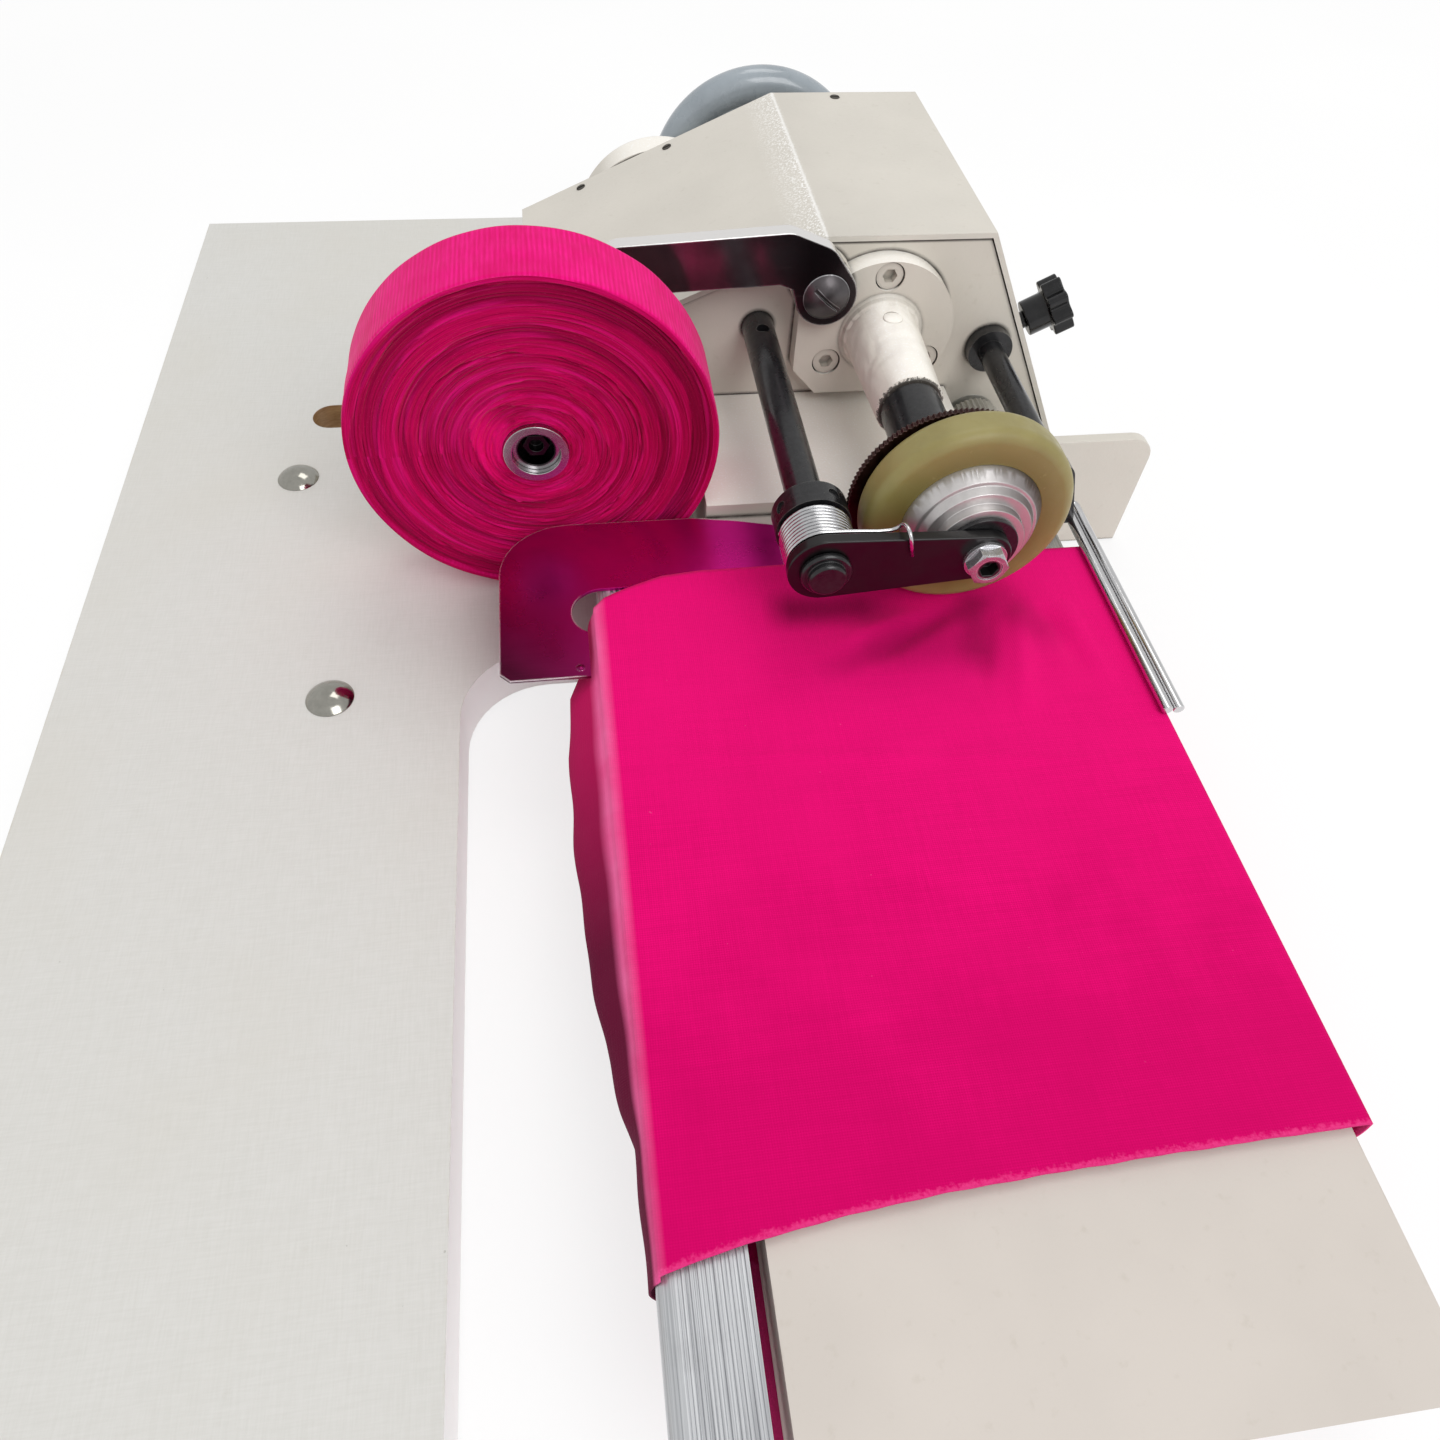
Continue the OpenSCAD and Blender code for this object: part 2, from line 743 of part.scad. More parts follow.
tooth_h = 0.8;
module knife_disc() {
    color([0.22, 0.16, 0.15]) placed() difference() {
        slab(-knife_y, knife_back) polygon([
            for (i = [0 : 2 * knife_teeth - 1])
                let (a = 180 * i / knife_teeth)
                (knife_r - (i % 2 == 0 ? 0 : tooth_h)) * [cos(a), sin(a)]
        ]);
        rod_y(knife_at, knife_shaft_d, -knife_y - cut_past, knife_back + cut_past);
        knife_screw_sites(-knife_y - cut_past, knife_back + cut_past) circle(d = knife_screw_d);
    }
}

module knife_screws() {
    color([0.3, 0.3, 0.3]) placed()
        knife_screw_sites(-knife_y, knife_back + knife_flange_t - 1) circle(d = knife_screw_d);
}

// Drive inside the head

// Outline of a gear whose first tooth points at angle turn
function gear_outline(turn) =
    let (
        pitch = 360 / gear_teeth,
        r = gear_m * gear_teeth / 2,
        root = r - 1.15 * gear_m,
        tip = r + 0.85 * gear_m
    )
    [
        for (i = [0 : gear_teeth - 1])
            for (c = [[-0.29, root], [-0.13, tip], [0.13, tip], [0.29, root]])
                c[1] * [cos(turn + pitch * (i + c[0])), sin(turn + pitch * (i + c[0]))]
    ];

module gear(at, shaft_d, turn) {
    difference() {
        union() {
            slab(gear_y[0], gear_y[1]) translate(at) polygon(gear_outline(turn));
            rod_y(at, shaft_d + 8, gear_y[0], gear_y[1] + 4);
        }
        rod_y(at, shaft_d, gear_y[0] - cut_past, gear_y[1] + 4 + cut_past);
    }
}

module knife_gear() {
    color([0.55, 0.55, 0.57]) placed() gear(knife_at, knife_shaft_d, drive_deg);
}

module drive_gear() {
    color([0.55, 0.55, 0.57]) placed() gear(drive_at, drive_shaft_d, drive_deg + 180 + 180 / gear_teeth);
}

// A flat-belt pulley with two lips
module pulley(at, r, shaft_d, y) {
    difference() {
        union() {
            rod_y(at, 2 * r, y[0], y[1]);
            rod_y(at, 2 * r + 2 * belt_t, y[0], y[0] + pulley_lip);
            rod_y(at, 2 * r + 2 * belt_t, y[1] - pulley_lip, y[1]);
        }
        rod_y(at, shaft_d, y[0] - cut_past, y[1] + cut_past);
    }
}

// A belt round two pulleys, clear of their lips
module belt(a, ra, b, rb, y) {
    in_a = ra + soft_gap;
    in_b = rb + soft_gap;
    y0 = y[0] + pulley_lip + soft_gap;
    y1 = y[1] - pulley_lip - soft_gap;
    difference() {
        link(a, in_a + belt_t, b, in_b + belt_t, y0, y1);
        link(a, in_a, b, in_b, y0 - cut_past, y1 + cut_past);
    }
}

module drive_shaft() {
    color("silver") placed()
        rod_y(drive_at, drive_shaft_d, front_in - drive_bush_l + 1, handwheel_y + rim_r + 4);
}

module drive_pulley() {
    color([0.5, 0.5, 0.52]) placed() pulley(drive_at, drive_pulley_r, drive_shaft_d, motor_belt_y);
}

module drive_feed_pulley() {
    color([0.5, 0.5, 0.52]) placed() pulley(drive_at, feed_pulley_r, drive_shaft_d, feed_belt_y);
}

module motor_pulley() {
    color([0.5, 0.5, 0.52]) placed() pulley(motor_at, motor_pulley_r, motor_shaft_d, motor_belt_y);
}

module feed_pulley() {
    color([0.5, 0.5, 0.52]) placed() pulley(feed_at, feed_pulley_r, feed_shaft_d, feed_belt_y);
}

module motor_belt() {
    color([0.1, 0.1, 0.1]) placed()
        belt(motor_at, motor_pulley_r, drive_at, drive_pulley_r, motor_belt_y);
}

module feed_belt() {
    color([0.1, 0.1, 0.1]) placed()
        belt(drive_at, feed_pulley_r, feed_at, feed_pulley_r, feed_belt_y);
}

handwheel_hub_r = 17;
handwheel_web_t = 8;
module handwheel() {
    color([0.43, 0.47, 0.51]) placed() difference() {
        turned(drive_at) {
            translate([handwheel_r - rim_r, handwheel_y]) circle(r = rim_r);
            translate([0, handwheel_y - handwheel_web_t / 2])
                square([handwheel_r - rim_r, handwheel_web_t]);
            translate([0, handwheel_y - rim_r]) square([handwheel_hub_r, 2 * rim_r]);
        }
        rod_y(drive_at, drive_shaft_d, handwheel_y - 3 * rim_r, handwheel_y + 3 * rim_r);
    }
}

motor_shaft_d = 12;
motor_foot_w = 60;
motor_boss_r = 16;
motor_shaft_back = motor_front + 44;
module motor_body() {
    color([0.6, 0.6, 0.6]) placed() difference() {
        union() {
            rod_y(motor_at, 2 * motor_r, motor_front, motor_cap_y[0]);
            rod_y(motor_at, 2 * motor_boss_r, motor_front - 4, motor_front + 1);
            block(
                [motor_at[0] - motor_foot_w / 2, motor_front + 10, floor_z],
                [motor_at[0] + motor_foot_w / 2, back_in - 10, motor_at[1] - motor_r * 0.75]
            );
        }
        rod_y(motor_at, motor_shaft_d + 2 * run_gap, motor_front - 10, motor_shaft_back + 1);
    }
}

cap_corner = 8;
module motor_cap() {
    color([0.84, 0.82, 0.78]) placed() turned(motor_at) polygon(concat(
        [[0, motor_cap_y[0]], [motor_cap_r, motor_cap_y[0]]],
        arc([motor_cap_r, motor_cap_y[1]] - cap_corner * [1, 1], cap_corner, 0, 90, 8),
        [[0, motor_cap_y[1]]]
    ));
}

module motor_shaft() {
    color("silver") placed() rod_y(motor_at, motor_shaft_d, front_in + 1, motor_shaft_back);
}

// Fluted feed roller

feed_roller_back = head_front - 4;
feed_roller_front = tyre_front - 13;
module feed_roller() {
    color([0.6, 0.6, 0.58]) placed() {
        slab(feed_roller_front, feed_roller_back) translate(feed_at) polygon([
            for (i = [0 : 2 * feed_flutes - 1])
                (feed_r - (i % 2 == 0 ? 0 : 0.9)) * [cos(180 * i / feed_flutes), sin(180 * i / feed_flutes)]
        ]);
        rod_y(feed_at, feed_shaft_d, feed_roller_back - 1, feed_belt_y[1] + 2);
    }
}

// Pivot rod, spring and swing arm

rod_hole_d = 6;
rod_hole_y = -4;
journal_front = swing_front - 0.4;
module pivot_rod() {
    color([0.14, 0.14, 0.15]) placed() difference() {
        union() {
            rod_y(pivot_at, pivot_rod_d, swing_back + soft_gap, front_in);
            rod_y(pivot_at, journal_d, journal_front, swing_back + 1);
        }
        translate([pivot_at[0], rod_hole_y, pivot_at[1] - pivot_rod_d])
            cylinder(d = rod_hole_d, h = 2 * pivot_rod_d);
    }
}

cap_r = 9.8;
cap_boss_r = 7.3;
module pivot_cap() {
    color([0.12, 0.12, 0.13]) placed() turned(pivot_at) polygon([
        [0, journal_front], [cap_r, journal_front],
        [cap_r, journal_front - 1.6], [cap_r - 0.8, journal_front - 2.4],
        [cap_boss_r, journal_front - 2.4], [cap_boss_r, journal_front - 4.6],
        [cap_boss_r - 0.9, journal_front - 5.4], [0, journal_front - 5.4]
    ]);
}

collar_screw_degs = [60, 150];
collar_screw_d = 5;
module collar_screw_sites(r0, r1) {
    for (a = collar_screw_degs)
        translate([pivot_at[0], collar_front + collar_w / 2, pivot_at[1]]) rotate([0, 90 - a, 0])
            translate([0, 0, r0]) cylinder(d = collar_screw_d, h = r1 - r0);
}

module clamp_collar() {
    color([0.12, 0.12, 0.13]) placed() difference() {
        ring_y(pivot_at, collar_d, pivot_rod_d, collar_front, collar_front + collar_w);
        collar_screw_sites(0, collar_d);
    }
}

module collar_screws() {
    color([0.25, 0.25, 0.26]) placed() intersection() {
        collar_screw_sites(0, collar_d / 2 - 1);
        ring_y(pivot_at, collar_d, pivot_rod_d, collar_front, collar_front + collar_w);
    }
}

// Middle line of the spring: a straight tail at the collar, the curls, then a leg that hooks over the arm
spring_rings = 8;
spring_sides = 6;
spring_tail_y = collar_front - soft_gap;
spring_y0 = spring_tail_y - spring_wire;
spring_y1 = swing_back + soft_gap + 0.4 + spring_wire / 2;
spring_steps = round(spring_turns * spring_rings);
function spring_curl(i) =
    let (
        t = i / spring_steps,
        a = 90 + 360 * spring_turns * (1 - t)
    )
    [pivot_at[0] + spring_r * cos(a), mix(spring_y0, spring_y1, t), pivot_at[1] + spring_r * sin(a)];
hook_x = -28;
hook_z = max(pivot_at[1] + swing_pivot_r, wheel_at[1] + swing_axle_r) + spring_wire / 2 + soft_gap + 0.3;
hook_y = swing_front - soft_gap - 0.4 - spring_wire / 2;
hook_drop = 9;
spring_line = concat(
    [spring_curl(0) + [0, spring_wire, 0]],
    [for (i = [0 : spring_steps]) spring_curl(i)],
    [
        [hook_x - 4, spring_y1, hook_z - 0.6],
        [hook_x - 1, spring_y1 - 1.2, hook_z],
        [hook_x, swing_back - swing_t / 2, hook_z + 0.3],
        [hook_x + 0.6, hook_y + 0.6, hook_z - 0.4],
        [hook_x + 1, hook_y, hook_z - 2.4],
        [hook_x + 2.8, hook_y, hook_z - hook_drop]
    ]
);
spring_gap = min([
    for (i = [0 : spring_steps - spring_rings])
        norm(spring_curl(i + spring_rings) - spring_curl(i)) - spring_wire
]);
echo(spring_least_gap = spring_gap);

// A round wire of d along a line of points
module wire(line, d, sides) {
    n = len(line);
    rings = [
        for (i = [0 : n - 1])
            let (
                t = unit(line[min(i + 1, n - 1)] - line[max(i - 1, 0)]),
                u = unit(cross(t, abs(t[1]) > 0.9 ? [1, 0, 0] : [0, 1, 0])),
                v = cross(u, t)
            )
            [
                for (k = [0 : sides - 1])
                    let (a = 360 * k / sides)
                    line[i] + d / 2 * (cos(a) * u + sin(a) * v)
            ]
    ];
    loft(rings);
}

module torsion_spring() {
    color([0.75, 0.75, 0.76]) placed() wire(spring_line, spring_wire, spring_sides);
}

module swing_arm() {
    color([0.12, 0.12, 0.13]) placed() difference() {
        link(pivot_at, swing_pivot_r, wheel_at, swing_axle_r, swing_front, swing_back);
        rod_y(pivot_at, journal_d + 2 * run_gap, swing_front - cut_past, swing_back + cut_past);
        rod_y(wheel_at, axle_d, swing_front - cut_past, swing_back + cut_past);
    }
}

// Press wheel and its axle

axle_head_d = 16;
axle_head_y = [tyre_back - 2.7, tyre_back - 0.4];
axle_end = swing_front - axle_nut_h + 0.4;
module wheel_axle() {
    color([0.2, 0.2, 0.21]) placed() difference() {
        union() {
            rod_y(wheel_at, axle_head_d, axle_head_y[0], axle_head_y[1]);
            rod_y(wheel_at, axle_d, axle_end, axle_head_y[0] + 1);
        }
        slab(axle_end - cut_past, axle_end + 5) translate(wheel_at) circle(d = 0.74 * axle_d, $fn = 6);
    }
}

module axle_nut() {
    front = swing_front - axle_nut_h;
    flat = axle_nut_af / 2;
    color("silver") placed() difference() {
        union() {
            intersection() {
                slab(front, swing_front - 1.5) translate(wheel_at) circle(d = 2 * flat / cos(30), $fn = 6);
                turned(wheel_at) polygon([
                    [0, front - cut_past], [flat - 0.6, front - cut_past], [flat - 0.6, front],
                    [flat + 2.4, front + 1.7], [flat + 2.4, swing_front], [0, swing_front]
                ]);
            }
            rod_y(wheel_at, axle_nut_af + 2.5, swing_front - 1.5, swing_front);
        }
        rod_y(wheel_at, axle_d, swing_front - 2 * axle_nut_h, swing_front + cut_past);
    }
}

hub_back = tyre_back - 2;
hub_front = swing_back + 2;
spacer_d = 29;
module wheel_spacer() {
    color([0.12, 0.12, 0.13]) placed() ring_y(wheel_at, spacer_d, axle_d, swing_back, hub_front - soft_gap);
}

hub_rim_r = tyre_in_r - 3.5;
hub_step_r = tyre_in_r - 6.5;
hub_nose_r = wheel_brg_d / 2 + 4.5;
module wheel_hub() {
    rim_y = mix(tyre_front, hub_front, 0.42);
    step_y = mix(tyre_front, hub_front, 0.68);
    color([0.78, 0.78, 0.79]) placed() turned(wheel_at) polygon([
        [wheel_brg_d / 2, hub_back], [tyre_in_r, hub_back], [tyre_in_r, tyre_front - soft_gap],
        [hub_rim_r, rim_y], [hub_rim_r - 1.5, rim_y], [hub_step_r, step_y],
        [hub_nose_r, step_y], [hub_nose_r, hub_front], [wheel_brg_d / 2, hub_front]
    ]);
}

module wheel_tyre() {
    c = tyre_corner_r;
    color([0.6, 0.55, 0.28]) placed() turned(wheel_at) polygon(concat(
        [[tyre_in_r, tyre_front], [wheel_r - c, tyre_front]],
        arc([wheel_r - c, tyre_front + c], c, -90, 0, 8),
        arc([wheel_r - c, tyre_back - c], c, 0, 90, 8),
        [[tyre_in_r, tyre_back]]
    ));
}

module wheel_bearings() {
    color("silver") placed() for (y = [hub_front, axle_head_y[0] - 0.4 - wheel_brg_w])
        ring_y(wheel_at, wheel_brg_d, axle_d + 2 * run_gap, y, y + wheel_brg_w);
}

// Roll arm and the wound strip

roll_bends = [[-36.5, 36], [-50, 41.5], [-120, 38]];
spindle_flange_r = 16;
spindle_front = -roll_y + 1;
module roll_arm() {
    color([0.7, 0.7, 0.72]) placed() difference() {
        slab(roll_bar_front, -soft_gap) polygon(bent_bar(
            concat([roll_pivot_at], roll_bends, [roll_at]),
            [roll_eye_r, roll_bar_r + 0.5, roll_bar_r + 0.5, roll_bar_r, roll_eye_r]
        ));
        rod_y(roll_pivot_at, roll_screw_d + 2 * run_gap, roll_bar_front - cut_past, cut_past);
        rod_y(roll_at, spindle_d, roll_bar_front - cut_past, cut_past);
    }
}

roll_screw_head_h = 5;
module roll_pivot_screw() {
    color([0.7, 0.7, 0.72]) placed() difference() {
        union() {
            rod_y(roll_pivot_at, roll_screw_d - 2, -1, head_front);
            rod_y(roll_pivot_at, roll_screw_d, roll_bar_front - soft_gap - 1, 0);
            translate([roll_pivot_at[0], roll_bar_front - soft_gap, roll_pivot_at[1]]) rotate([90, 0, 0])
                dome(roll_screw_head_d / 2, roll_screw_head_h);
        }
        translate([roll_pivot_at[0], roll_bar_front - roll_screw_head_h, roll_pivot_at[1]])
            rotate([0, 40, 0]) cube([2 * roll_screw_head_d, 4, 1.8], center = true);
    }
}

spindle_bore_d = 15;
spindle_bore_deep = 9;
module roll_spindle() {
    color([0.5, 0.5, 0.52]) placed() difference() {
        union() {
            rod_y(roll_at, spindle_d, spindle_front, -soft_gap);
            rod_y(roll_at, 2 * spindle_flange_r, roll_back + 3, roll_bar_front);
        }
        rod_y(roll_at, spindle_bore_d, spindle_front - cut_past, spindle_front + spindle_bore_deep);
    }
    color([0.2, 0.2, 0.2]) placed() difference() {
        slab(spindle_front + 3, spindle_front + spindle_bore_deep + 1)
            translate(roll_at) circle(d = 11.5, $fn = 6);
        rod_y(roll_at, 6, spindle_front, spindle_front + 7);
    }
}

module roll_core() {
    color([0.75, 0.75, 0.76]) placed()
        ring_y(roll_at, core_d, spindle_d + 2 * run_gap, -roll_y - 2, roll_back + 2);
}

// Edges of the wound layers stand a little proud and back by turns
roll_rings = 26;
roll_uneven = 0.9;
lap_t = 0.8;
function roll_face(y, out) = [
    for (i = [0 : roll_rings])
        let (back = i == 0 ? 0 : roll_uneven * (1 - sin(137 * i)))
        [mix(core_d / 2, roll_r - lap_t, i / roll_rings), y - out * back]
];
function reversed(p) = [for (i = [len(p) - 1 : -1 : 0]) p[i]];

module strip_roll() {
    color([0.88, 0.06, 0.45]) placed() {
        turned(roll_at) polygon(concat(roll_face(-roll_y, -1), reversed(roll_face(roll_back, 1))));
        slab(-roll_y + 1, roll_back - 1) translate(roll_at) difference() {
            polygon([for (i = [0 : 71]) (roll_r - lap_t * i / 80) * [cos(5 * i + 250), sin(5 * i + 250)]]);
            circle(r = roll_r - 2 * lap_t);
        }
    }
}

// Edge guide on the clamped rod

guide_block_y = [-guide_rod_front + 2, -guide_rod_front + 10];
hairpin_bend_y = guide_block_y[1] + 1;
module guide_rod() {
    color([0.14, 0.14, 0.15]) placed()
        rod_y(guide_at, guide_rod_d, -guide_rod_front, -guide_rod_front + guide_rod_len);
}

guide_flange_t = 6;
module guide_bush() {
    color([0.12, 0.12, 0.13]) placed() difference() {
        union() {
            rod_y(guide_at, guide_bush_d, head_front - 1, front_in);
            rod_y(guide_at, guide_flange_d, head_front - guide_flange_t, head_front);
        }
        rod_y(guide_at, guide_rod_d + 2 * run_gap, -guide_flange_d, front_in + cut_past);
        knob_axis() cylinder(d = knob_stud_d + 2 * run_gap, h = guide_bush_d);
    }
}

// The block's finger ends at the wire's left side
finger_at = hairpin_at - [hairpin_d / 2, 0];
module guide_block() {
    y0 = guide_block_y[0];
    y1 = guide_block_y[1];
    color([0.14, 0.14, 0.15]) placed() difference() {
        link(guide_at, guide_rod_d / 2 + 2.4, finger_at, hairpin_d / 2 + hairpin_wall, y0, y1);
        rod_y(guide_at, guide_rod_d, y0 - cut_past, y1 + cut_past);
        rod_y(hairpin_at, hairpin_d, y0 - cut_past, y1 + cut_past);
        slab(y0 - cut_past, y1 + cut_past)
            translate([0, hairpin_at[1] - 3 * hairpin_d - block_lift]) square([3 * guide_x, 3 * hairpin_d]);
    }
}

hairpin_wall = 0.5;
// Foot of the block below the wire's axis
block_lift = 1;
module hairpin_guide() {
    color([0.78, 0.78, 0.8]) placed() {
        for (x = [0, hairpin_pitch]) rod_y(hairpin_at + [x, 0], hairpin_d, -hairpin_front, hairpin_bend_y);
        translate([hairpin_at[0] + hairpin_pitch / 2, hairpin_bend_y, hairpin_at[1]])
            rotate_extrude(angle = 180) translate([hairpin_pitch / 2, 0]) circle(d = hairpin_d);
    }
}

// Distances along the knob's axis, from the guide rod's axis
knob_wall = (fold_right - guide_at[0]) * cos(flare_deg) + (head_top - guide_at[1]) * sin(flare_deg);
knob_neck = knob_wall + 2.5;
knob_head = knob_wall + 13.5;
knob_end = knob_wall + 23;
knob_neck_d = 17;
knob_dip = 3;
module star_knob() {
    color([0.08, 0.08, 0.09]) placed() knob_axis() {
        translate([0, 0, guide_rod_d / 2 + soft_gap])
            cylinder(d = knob_stud_d, h = knob_head - guide_rod_d / 2);
        translate([0, 0, knob_neck]) cylinder(d = knob_neck_d, h = knob_head - knob_neck + 1);
        translate([0, 0, knob_head]) linear_extrude(knob_end - knob_head) polygon([
            for (i = [0 : 12 * knob_lobes - 1])
                let (a = 30 * i / knob_lobes)
                (knob_r - knob_dip * (1 - cos(knob_lobes * a)) / 2) * [cos(a), sin(a)]
        ]);
    }
}

// Fabric arm, width bar, guide plate and guard

window_right = ledge_right - 2;
window_front = feed_roller_front - 4;
arm_back = -ledge_front;
arm_foot = arm_z - arm_depth;
pin_z = bar_z - bar_h / 2;

module fabric_arm() {
    color([0.86, 0.83, 0.8]) placed() difference() {
        union() {
            block([-arm_left, -arm_front, arm_z - arm_t], [arm_right, window_front, arm_z]);
            block([-arm_left, window_front - 1, arm_z - arm_t], [window_right, arm_back, arm_z]);
            block([-arm_left, -arm_front, arm_foot], [-arm_left + arm_t, arm_back, arm_z]);
            block([arm_right - arm_t, -arm_front, arm_foot], [arm_right, window_front, arm_z]);
            block([window_right - arm_t, window_front - arm_t, arm_foot], [window_right, arm_back, arm_z]);
            block([window_right - arm_t, window_front - arm_t, arm_foot], [arm_right, window_front, arm_z]);
            block([-arm_left, arm_back - arm_t, arm_foot], [window_right, arm_back, arm_z]);
            block([-arm_left, -arm_front, arm_foot], [arm_right, -arm_front + arm_t, arm_z]);
        }
        for (y = pin_ys)
            pin_bore(y, pin_d + 2 * run_gap, -arm_left - cut_past, -arm_left + arm_t + cut_past);
        for (x = arm_screw_xs)
            rod_y([x, arm_screw_z], arm_screw_d, arm_back - arm_t - cut_past, arm_back + cut_past);
    }
    color("silver") placed() for (x = arm_screw_xs) {
        rod_y([x, arm_screw_z], arm_screw_d, arm_back - arm_t, arm_back + ledge_wall - 2);
        rod_y([x, arm_screw_z], 1.7 * arm_screw_d, arm_back - arm_t - arm_screw_d, arm_back - arm_t);
    }
}

module pin_bore(y, d, x0, x1) {
    translate([x0, y, pin_z]) rotate([0, 90, 0]) cylinder(d = d, h = x1 - x0);
}

bar_right = -arm_left - bar_gap;
bar_left = bar_right - bar_w;
bar_back = -notch_back - 1;
bar_ribs = 9;
bar_rib_h = 0.6;
bar_corner = 5;
pin_in_bar = 12;
pin_reach = 36;

// Section of the width bar: round outer shoulder and fine ribs along its top
bar_outline = concat(
    [[bar_left + bar_corner, bar_z - bar_h], [bar_right, bar_z - bar_h], [bar_right, bar_z]],
    [
        for (i = [0 : bar_ribs - 1], j = [0 : 3])
            let (pitch = (bar_w - bar_corner - 1) / bar_ribs)
            [bar_right - 1 - pitch * (i + [0, 0.1, 0.5, 0.6][j]), bar_z - [0, bar_rib_h, bar_rib_h, 0][j]]
    ],
    arc([bar_left + bar_corner, bar_z - bar_corner], bar_corner, 90, 180, 6),
    arc([bar_left + bar_corner, bar_z - bar_h + bar_corner], bar_corner, 180, 270, 6)
);

module width_bar() {
    color([0.76, 0.77, 0.78]) placed() {
        difference() {
            slab(-arm_front, bar_back) polygon(bar_outline);
            for (y = pin_ys) pin_bore(y, pin_d, bar_right - pin_in_bar, bar_right + cut_past);
            for (x = plate_screw_xs) translate([x, plate_screw_y, bar_z - plate_screw_deep])
                cylinder(d = plate_screw_d, h = 2 * plate_screw_deep);
        }
        for (y = pin_ys) pin_bore(y, pin_d, bar_right - pin_in_bar, bar_right + pin_reach);
        for (x = plate_screw_xs) translate([x, plate_screw_y, bar_z - plate_screw_deep])
            cylinder(d = plate_screw_d, h = plate_screw_deep + plate_t);
    }
}

plate_screw_d = 4;
plate_screw_deep = 6;
plate_screw_y = -150;
plate_left = -182;
plate_front = -162;
plate_right = -60;
plate_corner_r = 30;
plate_back = -73.5;
eye_at = [-139.5, -127.5];
eye_r = 13;
eye_right = -112;
channel_x = [-146.6, -141.7];
rivet_at = [-150.5, -157.5];

module guide_plate() {
    color([0.6, 0.6, 0.62]) placed() {
        difference() {
            translate([0, 0, bar_z]) linear_extrude(plate_t) polygon(concat(
                [
                    [plate_left + 4, plate_front], [plate_right, plate_front],
                    [plate_right, plate_back - 7.5],
                    [-78, plate_back - 3], [-97, plate_back]
                ],
                arc([plate_left, plate_back] + plate_corner_r * [1, -1], plate_corner_r, 90, 180, 10),
                [[plate_left, plate_front + 4]]
            ));
            translate([eye_at[0], eye_at[1], bar_z - cut_past])
                cylinder(r = eye_r, h = plate_t + 2 * cut_past);
            block(
                [eye_at[0], eye_at[1] - eye_r, bar_z - cut_past],
                [eye_right, eye_at[1] + eye_r, plate_z + cut_past]
            );
            block(
                [channel_x[0], plate_front - cut_past, bar_z - cut_past],
                [channel_x[1], eye_at[1], plate_z + cut_past]
            );
            for (x = plate_screw_xs) translate([x, plate_screw_y, bar_z - cut_past])
                cylinder(d = plate_screw_d, h = plate_t + 2 * cut_past);
        }
        translate([rivet_at[0], rivet_at[1], plate_z - 0.2]) dome(2, 0.8);
    }
}

guard_left = feed_at[0] + feed_r + 4;
guard_top = cloth_top - 0.3;
guard_corner = 12;
guard_screw_d = 6;
guard_screw_deep = 20;
module guard_screw_sites() {
    for (x = [guard_left + 9, table_right - 9]) translate([x, 0, table_z - table_t / 2]) children();
}

module guard_plate() {
    color([0.87, 0.84, 0.8]) placed() {
        difference() {
            slab(-step_back - guard_t, -step_back) polygon(concat(
                [[guard_left, table_z - table_t], [guard_right, table_z - table_t]],
                arc([guard_right - guard_corner, guard_top - guard_corner], guard_corner, 0, 90, 8),
                [[guard_left, guard_top]]
            ));
            guard_screw_sites()
                rod_y([0, 0], guard_screw_d, -step_back - 2 * guard_t, -step_back + cut_past);
        }
        guard_screw_sites() {
            rod_y([0, 0], guard_screw_d, -step_back - guard_t, -step_back + guard_screw_deep);
            rod_y([0, 0], 2 * guard_screw_d, -step_back - guard_t - 3, -step_back - guard_t);
        }
    }
}

// Fabric tube: flat on the arm, slack and folded under it

tube_top_n = 14;
tube_side_n = 6;
tube_rings = 13;
tube_near = -376;
tube_low_near = -424;
tube_far_left = -117;
tube_far_mid = -108;
tube_hang = arm_foot - 4 - soft_gap;
tube_fold = 3;
tube_round = 3;
tube_bulge_end = 0.78;

function tube_far(x) = mix(tube_far_left, tube_far_mid, min(1, (x + tube_left) / 60));
function tube_near_edge(x) = tube_near + 15.5 * (1 - exp(-(x + tube_left) / 60));
// The lower layer comes out farther than the upper one, between its folds
function tube_low_edge(x, u) = mix(tube_near_edge(x), tube_low_near, min(1, u / 0.12, (1 - u) / 0.12));
// Height of the slack layer at share u of the width, from right to left, and share s of the length
function slack(u, s) =
    tube_hang - tube_sag * sin(180 * u) * (0.25 + 0.75 * sin(90 + 180 * (s - 0.55)))
    - tube_fold * (1 - cos(360 * 3 * u)) * (0.4 + 0.6 * s) / 2;
function bulge(s) = s < tube_bulge_end ? tube_bulge * sin(180 * (0.25 + 0.75 * s / tube_bulge_end)) : 0;

